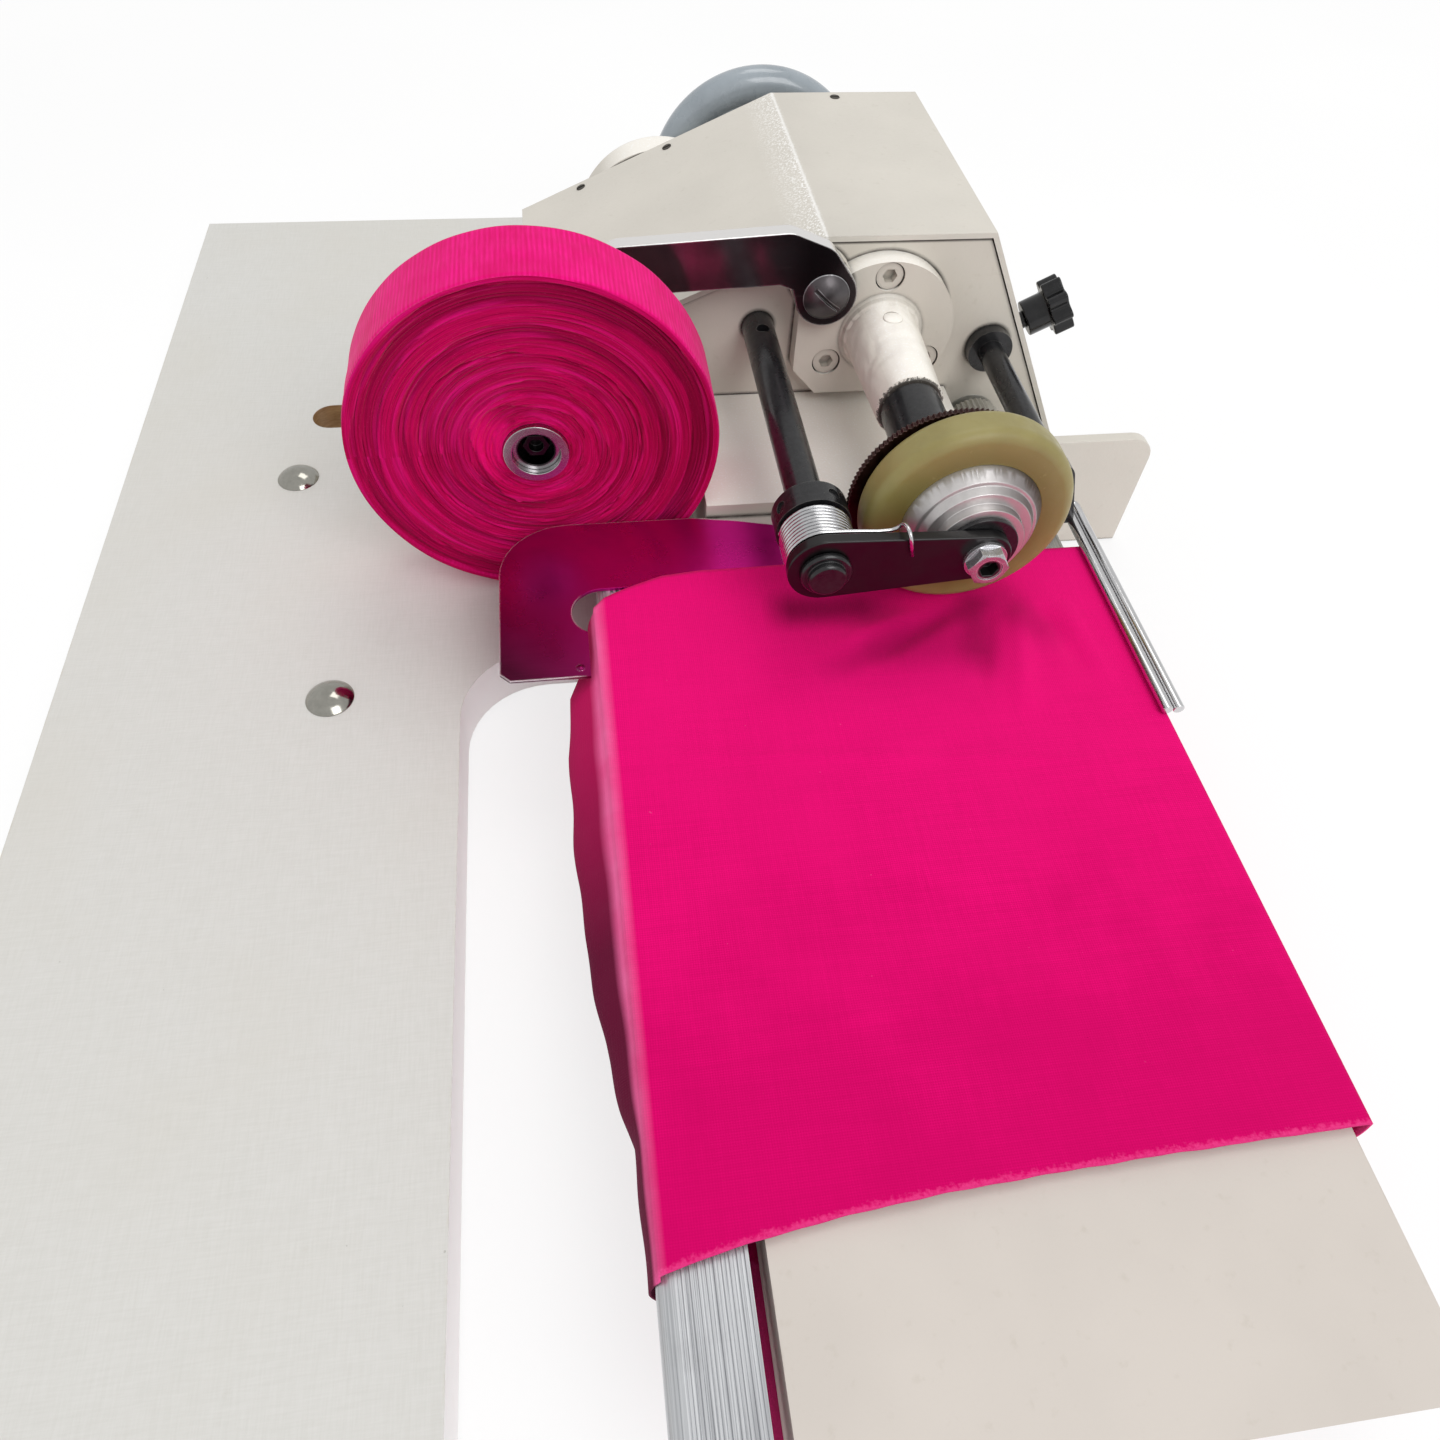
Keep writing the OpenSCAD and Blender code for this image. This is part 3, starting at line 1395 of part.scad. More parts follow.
// Outer section of the tube at share s of its length, as X, Z, far end Y and near end Y
function tube_section(s) = concat(
    [for (i = [0 : tube_top_n - 1])
        let (x = mix(-tube_left + tube_round, tube_right - tube_round, i / (tube_top_n - 1)))
        [x, cloth_top, tube_far(x), tube_near_edge(x)]],
    [for (i = [1 : tube_side_n])
        let (t = i / (tube_side_n + 1))
        [
            tube_right - tube_round + tube_round * sin(180 * t),
            mix(cloth_top, slack(0, s), t),
            mix(tube_far_mid, tube_far_left - 2, t),
            tube_near_edge(tube_right)
        ]],
    [for (i = [0 : tube_top_n - 1])
        let (u = i / (tube_top_n - 1), x = mix(tube_right - tube_round, -tube_left + tube_round, u))
        [x, slack(u, s), tube_far_left - 2, tube_low_edge(x, u)]],
    [for (i = [1 : tube_side_n])
        let (t = i / (tube_side_n + 1), w = sin(180 * t))
        [
            -tube_left + tube_round - tube_round * w - bulge(s) * w * w,
            mix(slack(1, s), cloth_top, t),
            tube_far_left - 1,
            tube_near_edge(-tube_left)
        ]]
);
function tube_ring(s, deep) =
    let (p = tube_section(s), m = len(p))
    [
        for (j = [0 : m - 1])
            let (
                a = p[(j + m - 1) % m],
                b = p[(j + 1) % m],
                n = left_of(unit([b[0] - a[0], b[1] - a[1]])),
                x = p[j][0] + deep * n[0],
                z = p[j][1] + deep * n[1]
            )
            [x, mix(p[j][2], p[j][3], s), z]
    ];

module fabric_tube() {
    shares = [for (i = [0 : tube_rings]) i / tube_rings];
    color([0.88, 0.06, 0.45]) placed() loft(concat(
        [for (s = shares) tube_ring(s, 0)],
        [for (s = reversed(shares)) tube_ring(s, -cloth_t)]
    ), closed = true);
}

table_top();
table_bolts();
table_nuts();
base_casting();
front_plate();
back_plate();
head_cover();
cover_screws();
bearing_nose();
flange_screws();
oil_plug();
nose_bush();
rear_bushes();
drive_front_bush();
feed_bush();
knife_shaft();
knife_hub();
knife_disc();
knife_screws();
knife_gear();
drive_shaft();
drive_gear();
drive_pulley();
drive_feed_pulley();
handwheel();
motor_body();
motor_cap();
motor_shaft();
motor_pulley();
motor_belt();
feed_belt();
feed_roller();
feed_pulley();
pivot_rod();
pivot_cap();
clamp_collar();
collar_screws();
torsion_spring();
swing_arm();
wheel_axle();
axle_nut();
wheel_spacer();
wheel_hub();
wheel_tyre();
wheel_bearings();
roll_arm();
roll_pivot_screw();
roll_spindle();
roll_core();
strip_roll();
guide_rod();
guide_bush();
guide_block();
hairpin_guide();
star_knob();
fabric_arm();
width_bar();
guide_plate();
guard_plate();
fabric_tube();
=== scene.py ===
import json
import math

import bpy
import numpy as np
from mathutils import Matrix, Vector


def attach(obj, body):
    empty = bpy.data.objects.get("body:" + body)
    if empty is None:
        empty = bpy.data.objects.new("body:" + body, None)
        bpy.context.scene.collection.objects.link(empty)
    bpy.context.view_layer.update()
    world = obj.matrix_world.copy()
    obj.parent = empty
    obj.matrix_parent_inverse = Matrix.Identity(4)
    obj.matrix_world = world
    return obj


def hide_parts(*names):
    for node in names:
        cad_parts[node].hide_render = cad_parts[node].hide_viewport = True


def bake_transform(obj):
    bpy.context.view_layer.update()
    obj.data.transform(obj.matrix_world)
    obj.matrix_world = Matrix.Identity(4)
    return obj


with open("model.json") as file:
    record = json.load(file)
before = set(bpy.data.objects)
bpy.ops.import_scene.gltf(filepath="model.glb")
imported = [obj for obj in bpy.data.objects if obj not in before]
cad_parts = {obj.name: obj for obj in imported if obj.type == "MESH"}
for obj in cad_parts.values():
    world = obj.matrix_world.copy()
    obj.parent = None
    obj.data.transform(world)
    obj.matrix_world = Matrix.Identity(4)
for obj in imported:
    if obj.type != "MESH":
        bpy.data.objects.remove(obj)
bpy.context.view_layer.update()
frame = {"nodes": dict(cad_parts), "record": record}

NODES = frame["nodes"]

# The machine's own axes: the knife axis at the flange face, in millimetres
SHIFT = np.array([115.5, 76.0, 107.0])


def row(p):
    """Points in the machine's millimetres, as metres in the row frame."""
    return (np.asarray(p, float) + SHIFT) / 1000.0


# ---------------------------------------------------------------- sizes, in the machine's millimetres

# Axes along Y, as X and Z
KNIFE = (0.0, 0.0)
WHEEL = (4.5, 1.5)
ROLL = (-162.0, -4.0)
PIVOT = (-57.0, 0.0)

# The cloth's upper side, its left and right ends, the radius of its folds and its thickness
CLOTH_TOP = -40.8
LEFT, RIGHT, FOLD = -145.4, 78.0, 3.0
CLOTH_THICK = 0.8
# The near edge starts at the left at NEAR_EDGE and bends back by NEAR_RISE, mostly over NEAR_FADE
NEAR_EDGE, NEAR_RISE, NEAR_FADE = -376.0, 15.5, 60.0
# Far edge of the upper and lower layers, near edge and height of the lower one
FAR_TOP, FAR_LOW = -108.0, -119.0
NEAR_LOW = -424.0
TUBE_HANG = -73.2
# The upper layer's far edge as X and Y, cut back at its left corner
FAR_EDGE = ([-146, -139, -130, -114, -97, -62], [-129, -121.5, -117.4, -111.5, -109, -108])
# How far the left side bulges at some places along Y, from near to far
BULGE = (
    [-336, -325, -305, -285, -263, -239, -186, -156, -138, -118],
    [0, 2.7, 6.4, 8.8, 10.6, 11.6, 11.6, 9.6, 3.0, 0],
)
# Creases in the upper layer: both ends in X and Y, half width and height
CREASES = [
    (23.7, -137, 6, -182, 4, -1.6), (35, -140, 20, -192, 5, 2.2), (8, -138, -32, -164, 4, -1.5),
    (-6, -137, -50, -160, 6, 1.8), (44, -136, 50, -178, 4, -1.6), (55, -140, 61, -192, 5, 1.5),
    (-60, -150, -52, -200, 9, 0.7), (-140, -202, 78, -226, 2.2, 0.4), (-140, -316, 78, -298, 2.6, 0.35),
    (-70, -230, -30, -330, 9, -0.5), (20, -240, 40, -340, 10, 0.6), (-120, -190, -100, -290, 8, 0.5),
]
# Painted shadow of the press wheel and painted shade of the folds that run out from it: both ends in X and Y, half
# width and strength
SHADED = [
    (-68, -135, -20, -137, 15, 0.8),
    (13, -139, -50, -168, 10, 0.5),
    (17, -134, 8, -174, 12, 0.6),
    (6, -158, -32, -160, 18, 0.3),
    (24, -132, 44, -163, 14, 0.28),
]

# The wound strip
ROLL_CORE, ROLL_OUT = 13.6, 77.0
ROLL_FRONT, ROLL_BACK = -71.0, -33.0
# The torsion spring's mean radius, wire, curls, and the curls' ends along Y
SPRING_R, SPRING_WIRE, SPRING_TURNS = 13.6, 1.6, 8.25
SPRING_FAR, SPRING_NEAR = -134.1, -148.7

# Places that the paints refer to
NOSE_END = -57.2
COVER_FOLD = -29.6
BAR_END = -46.0
HOLE_AT = (-257.0, 69.5)
PLATE_CORNER = (-182.0, -162.0)


# ---------------------------------------------------------------- camera

# Solved from the photo: place, yaw, pitch and roll in degrees, focal length and frame in pixels
CAMERA_AT = (-145.78, -428.58, 270.04)
CAMERA_TURN = (10.95, 51.94, -4.19)
FOCAL_PX, FRAME_PX = 1040.8, 1440
SENSOR = 36


def make_camera():
    yaw, pitch, roll = (math.radians(a) for a in CAMERA_TURN)
    forward = Vector((math.sin(yaw) * math.cos(pitch), math.cos(yaw) * math.cos(pitch), -math.sin(pitch)))
    right = Vector((math.cos(yaw), -math.sin(yaw), 0))
    down = forward.cross(right)
    x = math.cos(roll) * right + math.sin(roll) * down
    y = math.sin(roll) * right - math.cos(roll) * down
    data = bpy.data.cameras.new("camera")
    data.sensor_width = SENSOR
    data.lens = FOCAL_PX / FRAME_PX * SENSOR
    data.clip_start = 0.01
    camera = bpy.data.objects.new("camera", data)
    turn = Matrix((x, y, -forward)).transposed().to_4x4()
    camera.matrix_world = Matrix.Translation(row(CAMERA_AT)) @ turn
    bpy.context.scene.collection.objects.link(camera)
    bpy.context.scene.camera = camera


make_camera()


# ---------------------------------------------------------------- materials

BUMP_STRENGTH = 0.45


class Paint:
    """A Principled material built from nodes. Positions are the row frame's metres, scaled to millimetres."""

    def __init__(self, name, **sockets):
        self.material = bpy.data.materials.new(name)
        self.material.use_nodes = True
        self.tree = self.material.node_tree
        self.shader = self.tree.nodes["Principled BSDF"]
        self.set(**sockets)
        coords = self.add("ShaderNodeTexCoord")
        self.mm = self.math_v("SCALE", coords.outputs["Object"], scale=1000.0)
        self.height = None

    def set(self, **sockets):
        for key, value in sockets.items():
            self.shader.inputs[key.replace("_", " ")].default_value = value

    def add(self, kind, **settings):
        node = self.tree.nodes.new(kind)
        for key, value in settings.items():
            setattr(node, key, value)
        return node

    def put(self, socket, value):
        if isinstance(value, bpy.types.NodeSocket):
            self.tree.links.new(value, socket)
        else:
            socket.default_value = value

    def math_v(self, operation, a, b=None, scale=None):
        node = self.add("ShaderNodeVectorMath", operation=operation)
        self.put(node.inputs[0], a)
        if b is not None:
            self.put(node.inputs[1], b)
        if scale is not None:
            node.inputs["Scale"].default_value = scale
        return node.outputs["Value" if operation in ("LENGTH", "DOT_PRODUCT") else "Vector"]

    def math(self, operation, a, b=0.0):
        node = self.add("ShaderNodeMath", operation=operation)
        self.put(node.inputs[0], a)
        self.put(node.inputs[1], b)
        return node.outputs[0]

    def noise(self, size, detail=4.0, rough=0.55, stretch=(1, 1, 1), distort=0.0, at=None):
        """Noise whose features are about size millimetres, from 0 to 1."""
        where = self.math_v("MULTIPLY", at or self.mm, tuple(1.0 / (size * s) for s in stretch))
        node = self.add("ShaderNodeTexNoise")
        self.put(node.inputs["Vector"], where)
        node.inputs["Scale"].default_value = 1.0
        node.inputs["Detail"].default_value = detail
        node.inputs["Roughness"].default_value = rough
        node.inputs["Distortion"].default_value = distort
        return node.outputs["Fac"]

    def range(self, fac, low, high, to_low, to_high):
        node = self.add("ShaderNodeMapRange")
        keys = ("Value", "From Min", "From Max", "To Min", "To Max")
        for key, value in zip(keys, (fac, low, high, to_low, to_high)):
            self.put(node.inputs[key], value)
        return node.outputs["Result"]

    def mix(self, fac, a, b, blend="MIX"):
        node = self.add("ShaderNodeMix", data_type="RGBA", blend_type=blend)
        self.put(node.inputs["Factor"], fac)
        for socket, value in zip((node.inputs[6], node.inputs[7]), (a, b)):
            self.put(socket, value if isinstance(value, bpy.types.NodeSocket) else tuple(value) + (1,))
        return node.outputs[2]

    def edges(self, radius, low=0.02, high=0.25):
        """1 near sharp edges and 0 on flats, by how far a rounded normal leans from the true one."""
        node = self.add("ShaderNodeBevel", samples=6)
        node.inputs["Radius"].default_value = radius / 1000.0
        plain = self.add("ShaderNodeNewGeometry").outputs["Normal"]
        lean = self.math("SUBTRACT", 1.0, self.math_v("DOT_PRODUCT", node.outputs["Normal"], plain))
        return self.range(lean, low, high, 0.0, 1.0)

    def crevice(self, reach, low=0.35, high=0.8):
        """1 where another surface is close, as in the gap between two plates, and 0 in the open."""
        node = self.add("ShaderNodeAmbientOcclusion", samples=6)
        node.inputs["Distance"].default_value = reach / 1000.0
        return self.range(node.outputs["AO"], low, high, 1.0, 0.0)

    def join(self, x, y, z=0.0):
        node = self.add("ShaderNodeCombineXYZ")
        for socket, value in zip(node.inputs, (x, y, z)):
            self.put(socket, value)
        return node.outputs[0]

    def normal(self, which):
        node = self.add("ShaderNodeSeparateXYZ")
        self.put(node.inputs[0], self.add("ShaderNodeNewGeometry").outputs["Normal"])
        return node.outputs["XYZ".index(which)]

    def around(self, axis_at):
        """Distance in millimetres from an axis along Y at the machine's X and Z."""
        x, _, z = row((axis_at[0], 0, axis_at[1])) * 1000
        flat = self.math_v("MULTIPLY", self.math_v("SUBTRACT", self.mm, (x, 0, z)), (1, 0, 1))
        return self.math_v("LENGTH", flat)

    def stripes(self, fac, pitch):
        """A sine wave from 0 to 1 along fac, in millimetres."""
        return self.range(self.math("SINE", self.math("MULTIPLY", fac, 2 * math.pi / pitch)), -1, 1, 0, 1)

    def part(self, which):
        node = self.add("ShaderNodeSeparateXYZ")
        self.put(node.inputs[0], self.mm)
        return node.outputs["XYZ".index(which)]

    def colour(self, value):
        self.put(self.shader.inputs["Base Color"], value)

    def rough(self, value):
        self.put(self.shader.inputs["Roughness"], value)

    def bump(self, height, distance):
        """Bump of that real height in millimetres, over any bump already there."""
        node = self.add("ShaderNodeBump")
        node.inputs["Strength"].default_value = BUMP_STRENGTH
        node.inputs["Distance"].default_value = distance / 1000.0
        self.put(node.inputs["Height"], height)
        if self.height is not None:
            self.tree.links.new(self.height, node.inputs["Normal"])
        self.height = node.outputs["Normal"]
        self.tree.links.new(self.height, self.shader.inputs["Normal"])


def srgb(r, g, b):
    return tuple(((c / 255 + 0.055) / 1.055) ** 2.4 if c > 10 else c / 255 / 12.92 for c in (r, g, b))


PINK = srgb(238, 4, 118)
PINK_SHADE = srgb(206, 0, 97)
CREAM = srgb(212, 206, 195)
BRIGHT = srgb(205, 205, 207)
# Colour of dirt, and of painted shade in crevices and seams
SHADE_AND_DIRT = srgb(40, 34, 29)


def cream_paint(name, colour, texture=1.0, lumps=0.0, more=None, dirty=1.0):
    m = Paint(name, Coat_Weight=0.12, Coat_Roughness=0.25)
    cloud = m.noise(60, 3)
    dust = m.noise(4, 5)
    tone = m.mix(m.range(cloud, 0.35, 0.65, 0, 1), [c * 0.94 for c in colour], colour)
    tone = m.mix(m.range(dust, 0.62, 0.78, 0, 0.25), tone, srgb(176, 168, 152))
    worn = m.math("MULTIPLY", m.edges(1.2), m.range(m.noise(9, 5), 0.5, 0.68, 0, 0.6))
    tone = m.mix(worn, tone, srgb(150, 140, 124))
    # Crevices are darkened, as dirt and as painted shade where another surface is close; dirty sets how much.
    crevice_shade_and_dirt = m.math("MULTIPLY", m.crevice(2.0, 0.6, 0.97), m.range(m.noise(7, 4), 0.3, 0.6, 0.75 * dirty, dirty))
    tone = m.mix(crevice_shade_and_dirt, tone, SHADE_AND_DIRT)
    if more:
        tone = more(m, tone)
    m.colour(tone)
    peel = m.noise(1.5, 3, 0.5)
    m.rough(m.range(peel, 0.3, 0.7, 0.42, 0.62))
    m.bump(peel, 0.16 * texture)
    if lumps:
        m.bump(m.noise(9, 2, 0.4, distort=0.6), lumps)
    return m.material


def chipped_nose(m, tone):
    """Thick brushed paint on the nose, with a ragged dirty end."""
    _, y, _ = row((0, NOSE_END, 0)) * 1000
    past = m.math("SUBTRACT", y, m.part("Y"))
    ragged = m.math("ADD", past, m.range(m.noise(1.6, 4, 0.7), 0.3, 0.7, -0.9, 0.9))
    tube = m.range(m.around(KNIFE), 18, 19, 1, 0)
    tip = m.math("MULTIPLY", m.range(ragged, 0.0, 0.4, 0, 1), tube)
    tone = m.mix(m.math("MULTIPLY", tube, 0.55), tone, srgb(236, 230, 219))
    m.bump(m.math("MULTIPLY", m.noise(13, 1, 0.4, distort=0.5), tube), 5.0)
    # Painted light: faces that look up, such as the base's ledge, are painted paler, and carry white painted
    # glints.
    flat = m.range(m.normal("Z"), 0.7, 0.95, 0, 0.9)
    tone = m.mix(flat, tone, srgb(250, 246, 238))
    glint = m.math("MULTIPLY", flat, m.range(m.noise(1.0, 3, 0.65), 0.58, 0.64, 0, 0.8))
    tone = m.mix(glint, tone, srgb(255, 255, 254))
    return m.mix(m.math("MULTIPLY", tip, 0.9), tone, srgb(52, 46, 40))


def fold_highlight(m, tone):
    """Painted highlight on the cover's wrinkle paint: white glints in a band beside its left fold, and a bright
    line along the fold.
    """
    fold, _, _ = row((COVER_FOLD, 0, 0)) * 1000
    aside = m.math("SUBTRACT", fold, m.part("X"))
    band = m.math("MULTIPLY", m.range(aside, 0, 15, 1, 0), m.range(aside, -2.5, 0, 0, 1))
    glint = m.range(m.noise(1.0, 3, 0.65), 0.5, 0.6, 0, 1)
    tone = m.mix(m.math("MULTIPLY", band, glint), tone, srgb(255, 254, 252))
    highlight_line = m.math("ABSOLUTE", m.math("ADD", aside, 0.6))
    return m.mix(m.range(highlight_line, 0.2, 1.1, 0.8, 0), tone, srgb(250, 248, 244))


def seam_shade_and_dirt(m, tone):
    """A dark line painted along the front wall's top edge, under the cover: painted shade of the seam, and dirt.
    """
    top = max(corner[2] for corner in NODES["front_plate"].bound_box) * 1000
    below = m.math("SUBTRACT", top, m.part("Z"))
    return m.mix(m.range(below, 0.5, 1.5, 0.85, 0), tone, SHADE_AND_DIRT)


def steel(name, colour, rough=0.3, spread=0.12, grain=(1, 1, 1), size=3.0, stain=0.3, edge=None, metal=1.0):
    m = Paint(name, Metallic=metal)
    streak = m.noise(size, 4, 0.6, stretch=grain)
    cloud = m.noise(18, 4)
    tone = m.mix(m.range(streak, 0.3, 0.7, 0, 1), [c * (1 - stain) for c in colour], colour)
    tone = m.mix(m.range(cloud, 0.5, 0.75, 0, 0.5), tone, [c * 0.8 for c in colour])
    # Painted highlight: edges take the lighter edge colour.
    if edge:
        tone = m.mix(m.edges(0.7), tone, edge)
    m.colour(tone)
    m.rough(m.range(streak, 0.3, 0.7, rough - spread / 2, rough + spread))
    m.bump(streak, 0.03)
    return m.material


def black_oxide(name, rough=0.28, low=srgb(22, 22, 24), high=srgb(44, 44, 46)):
    m = Paint(name, Metallic=0.4, Coat_Weight=0.3, Coat_Roughness=0.14)
    streak = m.noise(2.0, 4, 0.6)
    tone = m.mix(m.range(streak, 0.25, 0.8, 0, 1), low, high)
    rub = m.math("MULTIPLY", m.edges(0.6), m.range(m.noise(5, 4), 0.38, 0.6, 0.1, 0.9))
    m.colour(m.mix(rub, tone, srgb(128, 126, 122)))
    m.rough(m.range(m.noise(9, 4), 0.3, 0.7, rough - 0.06, rough + 0.12))
    m.bump(streak, 0.012)
    return m.material


def lathe_metal(name, colour, centre, pitch=0.55, rough=0.3, metal=0.8, bore=0.0, dark=None):
    m = Paint(name, Metallic=metal)
    far = m.around(centre)
    groove = m.stripes(far, pitch)
    smear = m.noise(7, 4)
    tone = m.mix(m.range(smear, 0.4, 0.7, 0, 1), colour, [c * 0.86 for c in colour])
    # Painted shade: faces that turn towards +X are painted in the dark colour.
    if dark:
        tone = m.mix(m.range(m.normal("X"), -0.1, 0.7, 0, 1), tone, dark)
    # Painted shade: inside the bore's radius the end is painted near black.
    if bore:
        tone = m.mix(m.range(far, bore - 0.3, bore + 0.3, 0.94, 0), tone, srgb(18, 15, 16))
    m.colour(tone)
    m.rough(m.range(smear, 0.3, 0.7, rough, rough + 0.1))
    m.bump(groove, 0.0015)
    m.bump(m.stripes(m.part("Y"), 0.6), 0.0015)
    return m.material


def cloth_paint(name, colour, shade, deep):
    m = Paint(name, Sheen_Weight=0.06, Sheen_Roughness=0.5)
    # The paint stays on the cloth when the cloth is drawn wider
    rest = m.add("ShaderNodeAttribute", attribute_name="rest")
    m.mm = m.math_v("SCALE", rest.outputs["Vector"], scale=1000.0)
    m.set(Specular_IOR_Level=0.06, Sheen_Tint=(1, 0.5, 0.75, 1))
    weave = m.math("MULTIPLY", m.math("ADD", m.stripes(m.part("X"), 0.8), m.stripes(m.part("Y"), 0.8)), 0.5)
    slub_x = m.noise(1.1, 3, 0.65, stretch=(32, 1, 1))
    slub_y = m.noise(1.1, 3, 0.65, stretch=(1, 32, 1))
    threads = m.math("MULTIPLY", m.math("ADD", slub_x, slub_y), 0.5)
    tone = m.mix(m.range(weave, 0.15, 0.85, 0, 1), shade, colour)
    tone = m.mix(m.range(threads, 0.4, 0.6, 0.55, 0), tone, [c * 0.94 for c in shade])
    tone = m.mix(m.range(m.noise(60, 3), 0.4, 0.7, 0, 0.5), tone, shade)
    lint = m.range(m.noise(2.4, 2, 0.5), 0.79, 0.82, 0, 0.35)
    tone = m.mix(lint, tone, srgb(246, 110, 170))
    x0, y0, z0 = row((LEFT, NEAR_EDGE, CLOTH_TOP)) * 1000
    # Painted shade: the cloth darkens towards its near edge. Painted light: it is paler towards its far end.
    near = m.math("ADD", m.math("SUBTRACT", m.part("Y"), y0), m.range(m.noise(30, 3), 0.3, 0.7, -30, 30))
    tone = m.mix(m.range(near, 10, 110, 0.75, 0), tone, [c * 0.92 for c in shade])
    tone = m.mix(m.range(near, 60, 220, 0, 0.5), tone, srgb(248, 18, 126))
    # Painted shadow of the press wheel and shade of its folds, in soft dark bands
    for x1, y1, x2, y2, wide, dark in SHADED:
        ends = row(np.array([(x1, y1, 0), (x2, y2, 0)])) * 1000
        step = ends[1, :2] - ends[0, :2]
        ux, uy = step / (step @ step) ** 0.5
        off_x = m.math("SUBTRACT", m.part("X"), ends[0, 0])
        off_y = m.math("SUBTRACT", m.part("Y"), ends[0, 1])
        along = m.math("ADD", m.math("MULTIPLY", off_x, ux), m.math("MULTIPLY", off_y, uy))
        across = m.math("SUBTRACT", m.math("MULTIPLY", off_x, uy), m.math("MULTIPLY", off_y, ux))
        aside = m.math("ABSOLUTE", across)
        long = float((step @ step) ** 0.5)
        starts = m.range(along, -0.15 * long, 0.1 * long, 0, 1)
        stops = m.range(along, 0.75 * long, 1.15 * long, 1, 0)
        ends_soft = m.math("MULTIPLY", starts, stops)
        share = m.range(aside, 0, wide, 0, 1)
        soft = m.math("POWER", m.math("SUBTRACT", 1.0, m.math("MULTIPLY", share, share)), 2.0)
        tone = m.mix(m.math("MULTIPLY", m.math("MULTIPLY", soft, dark), ends_soft), tone, srgb(120, 0, 56))
    # Raw near edge, paler by its loose threads
    x = m.math("SUBTRACT", m.part("X"), x0)
    fall = m.math("POWER", math.e, m.math("MULTIPLY", x, -1 / NEAR_FADE))
    edge_y = m.math("SUBTRACT", y0 + NEAR_RISE, m.math("MULTIPLY", fall, NEAR_RISE))
    off = m.math("SUBTRACT", m.part("Y"), edge_y)
    fray = m.math("ADD", off, m.range(m.noise(1.1, 3), 0.3, 0.7, -1.0, 1.0))
    tone = m.mix(m.range(fray, 0.4, 2.0, 0.5, 0), tone, srgb(244, 78, 150))
    # Painted highlight: the left fold is painted pale. Painted shade: the cloth that hangs below it is painted
    # dark, darkest towards the near edge.
    side = m.range(x, 2, 7, 1, 0)
    z = m.math("SUBTRACT", z0, m.part("Z"))
    tone = m.mix(m.math("MULTIPLY", side, m.range(m.noise(12, 4), 0.3, 0.7, 0.45, 0.7)), tone, srgb(246, 128, 182))
    under = m.math("MULTIPLY", m.range(x, 12, 22, 1, 0), m.range(z, 3.0, 6.0, 0, 0.95))
    hang = m.range(m.math("SUBTRACT", m.part("Y"), y0), 100, 215, 0, 1)
    m.colour(m.mix(under, tone, m.mix(hang, deep, srgb(188, 0, 84))))
    m.rough(m.range(weave, 0, 1, 0.94, 0.8))
    m.bump(weave, 0.14)
    m.bump(threads, 0.16)
    return m.material


def strip_paint(name, colour, shade, deep):
    """Threads run across the roll's rim, and its cut edges are fuzzy, with dark lines between the layers. Layers
    that lie deeper in the face are painted darker, as painted shade.
    """
    m = Paint(name, Sheen_Weight=0.1, Sheen_Roughness=0.4)
    m.set(Specular_IOR_Level=0.06)
    x, front, z = row((ROLL[0], ROLL_FRONT, ROLL[1])) * 1000
    node = m.add("ShaderNodeSeparateXYZ")
    m.put(node.inputs[0], m.math_v("SUBTRACT", m.mm, (x, 0, z)))
    turn = m.math("MULTIPLY", m.math("ARCTAN2", node.outputs[2], node.outputs[0]), 50.0)
    far = m.around(ROLL)
    # Rim
    rib = m.stripes(turn, 1.25)
    lay = m.noise(1.0, 4, 0.6, stretch=(1, 14, 1))
    tone = m.mix(m.range(rib, 0.1, 0.9, 0.45, 0), colour, shade)
    tone = m.mix(m.range(lay, 0.36, 0.6, 0.5, 0), tone, shade)
    tone = m.mix(m.range(m.noise(20, 4), 0.4, 0.7, 0, 0.4), tone, shade)
    # Face
    wound = m.join(far, turn)
    line = m.noise(0.42, 3, 0.65, stretch=(1, 60, 1), at=wound)
    group = m.noise(3.2, 3, 0.6, stretch=(1, 26, 1), at=wound)
    face = m.mix(m.range(line, 0.34, 0.6, 0.3, 1), deep, shade)
    face = m.mix(m.range(group, 0.5, 0.68, 0, 0.75), face, colour)
    # Painted shade: the deeper a layer lies in the face, the darker it is painted.
    sunk_shade = m.range(m.math("SUBTRACT", m.part("Y"), front), 0.8, 3.6, 0, 0.8)
    face = m.mix(sunk_shade, face, [c * 0.62 for c in deep])
    # A loose bright patch beside the core
    off = m.math_v("SUBTRACT", m.mm, (x - 19, 0, z + 4))
    beside = m.math_v("LENGTH", m.math_v("MULTIPLY", off, (1, 0, 0.6)))
    face = m.mix(m.range(beside, 5, 12, 0.85, 0), face, srgb(234, 10, 114))
    fuzz = m.range(m.noise(0.5, 2), 0.66, 0.74, 0, 0.35)
    face = m.mix(fuzz, face, srgb(238, 80, 150))
    flat = m.range(m.math("ABSOLUTE", m.normal("Y")), 0.3, 0.6, 0, 1)
    m.colour(m.mix(flat, tone, face))
    m.rough(m.range(lay, 0, 1, 0.96, 0.8))
    m.bump(m.math("MULTIPLY", rib, m.math("SUBTRACT", 1.0, flat)), 0.1)
    m.bump(m.math("MULTIPLY", line, flat), 0.5)
    m.bump(lay, 0.15)
    return m.material


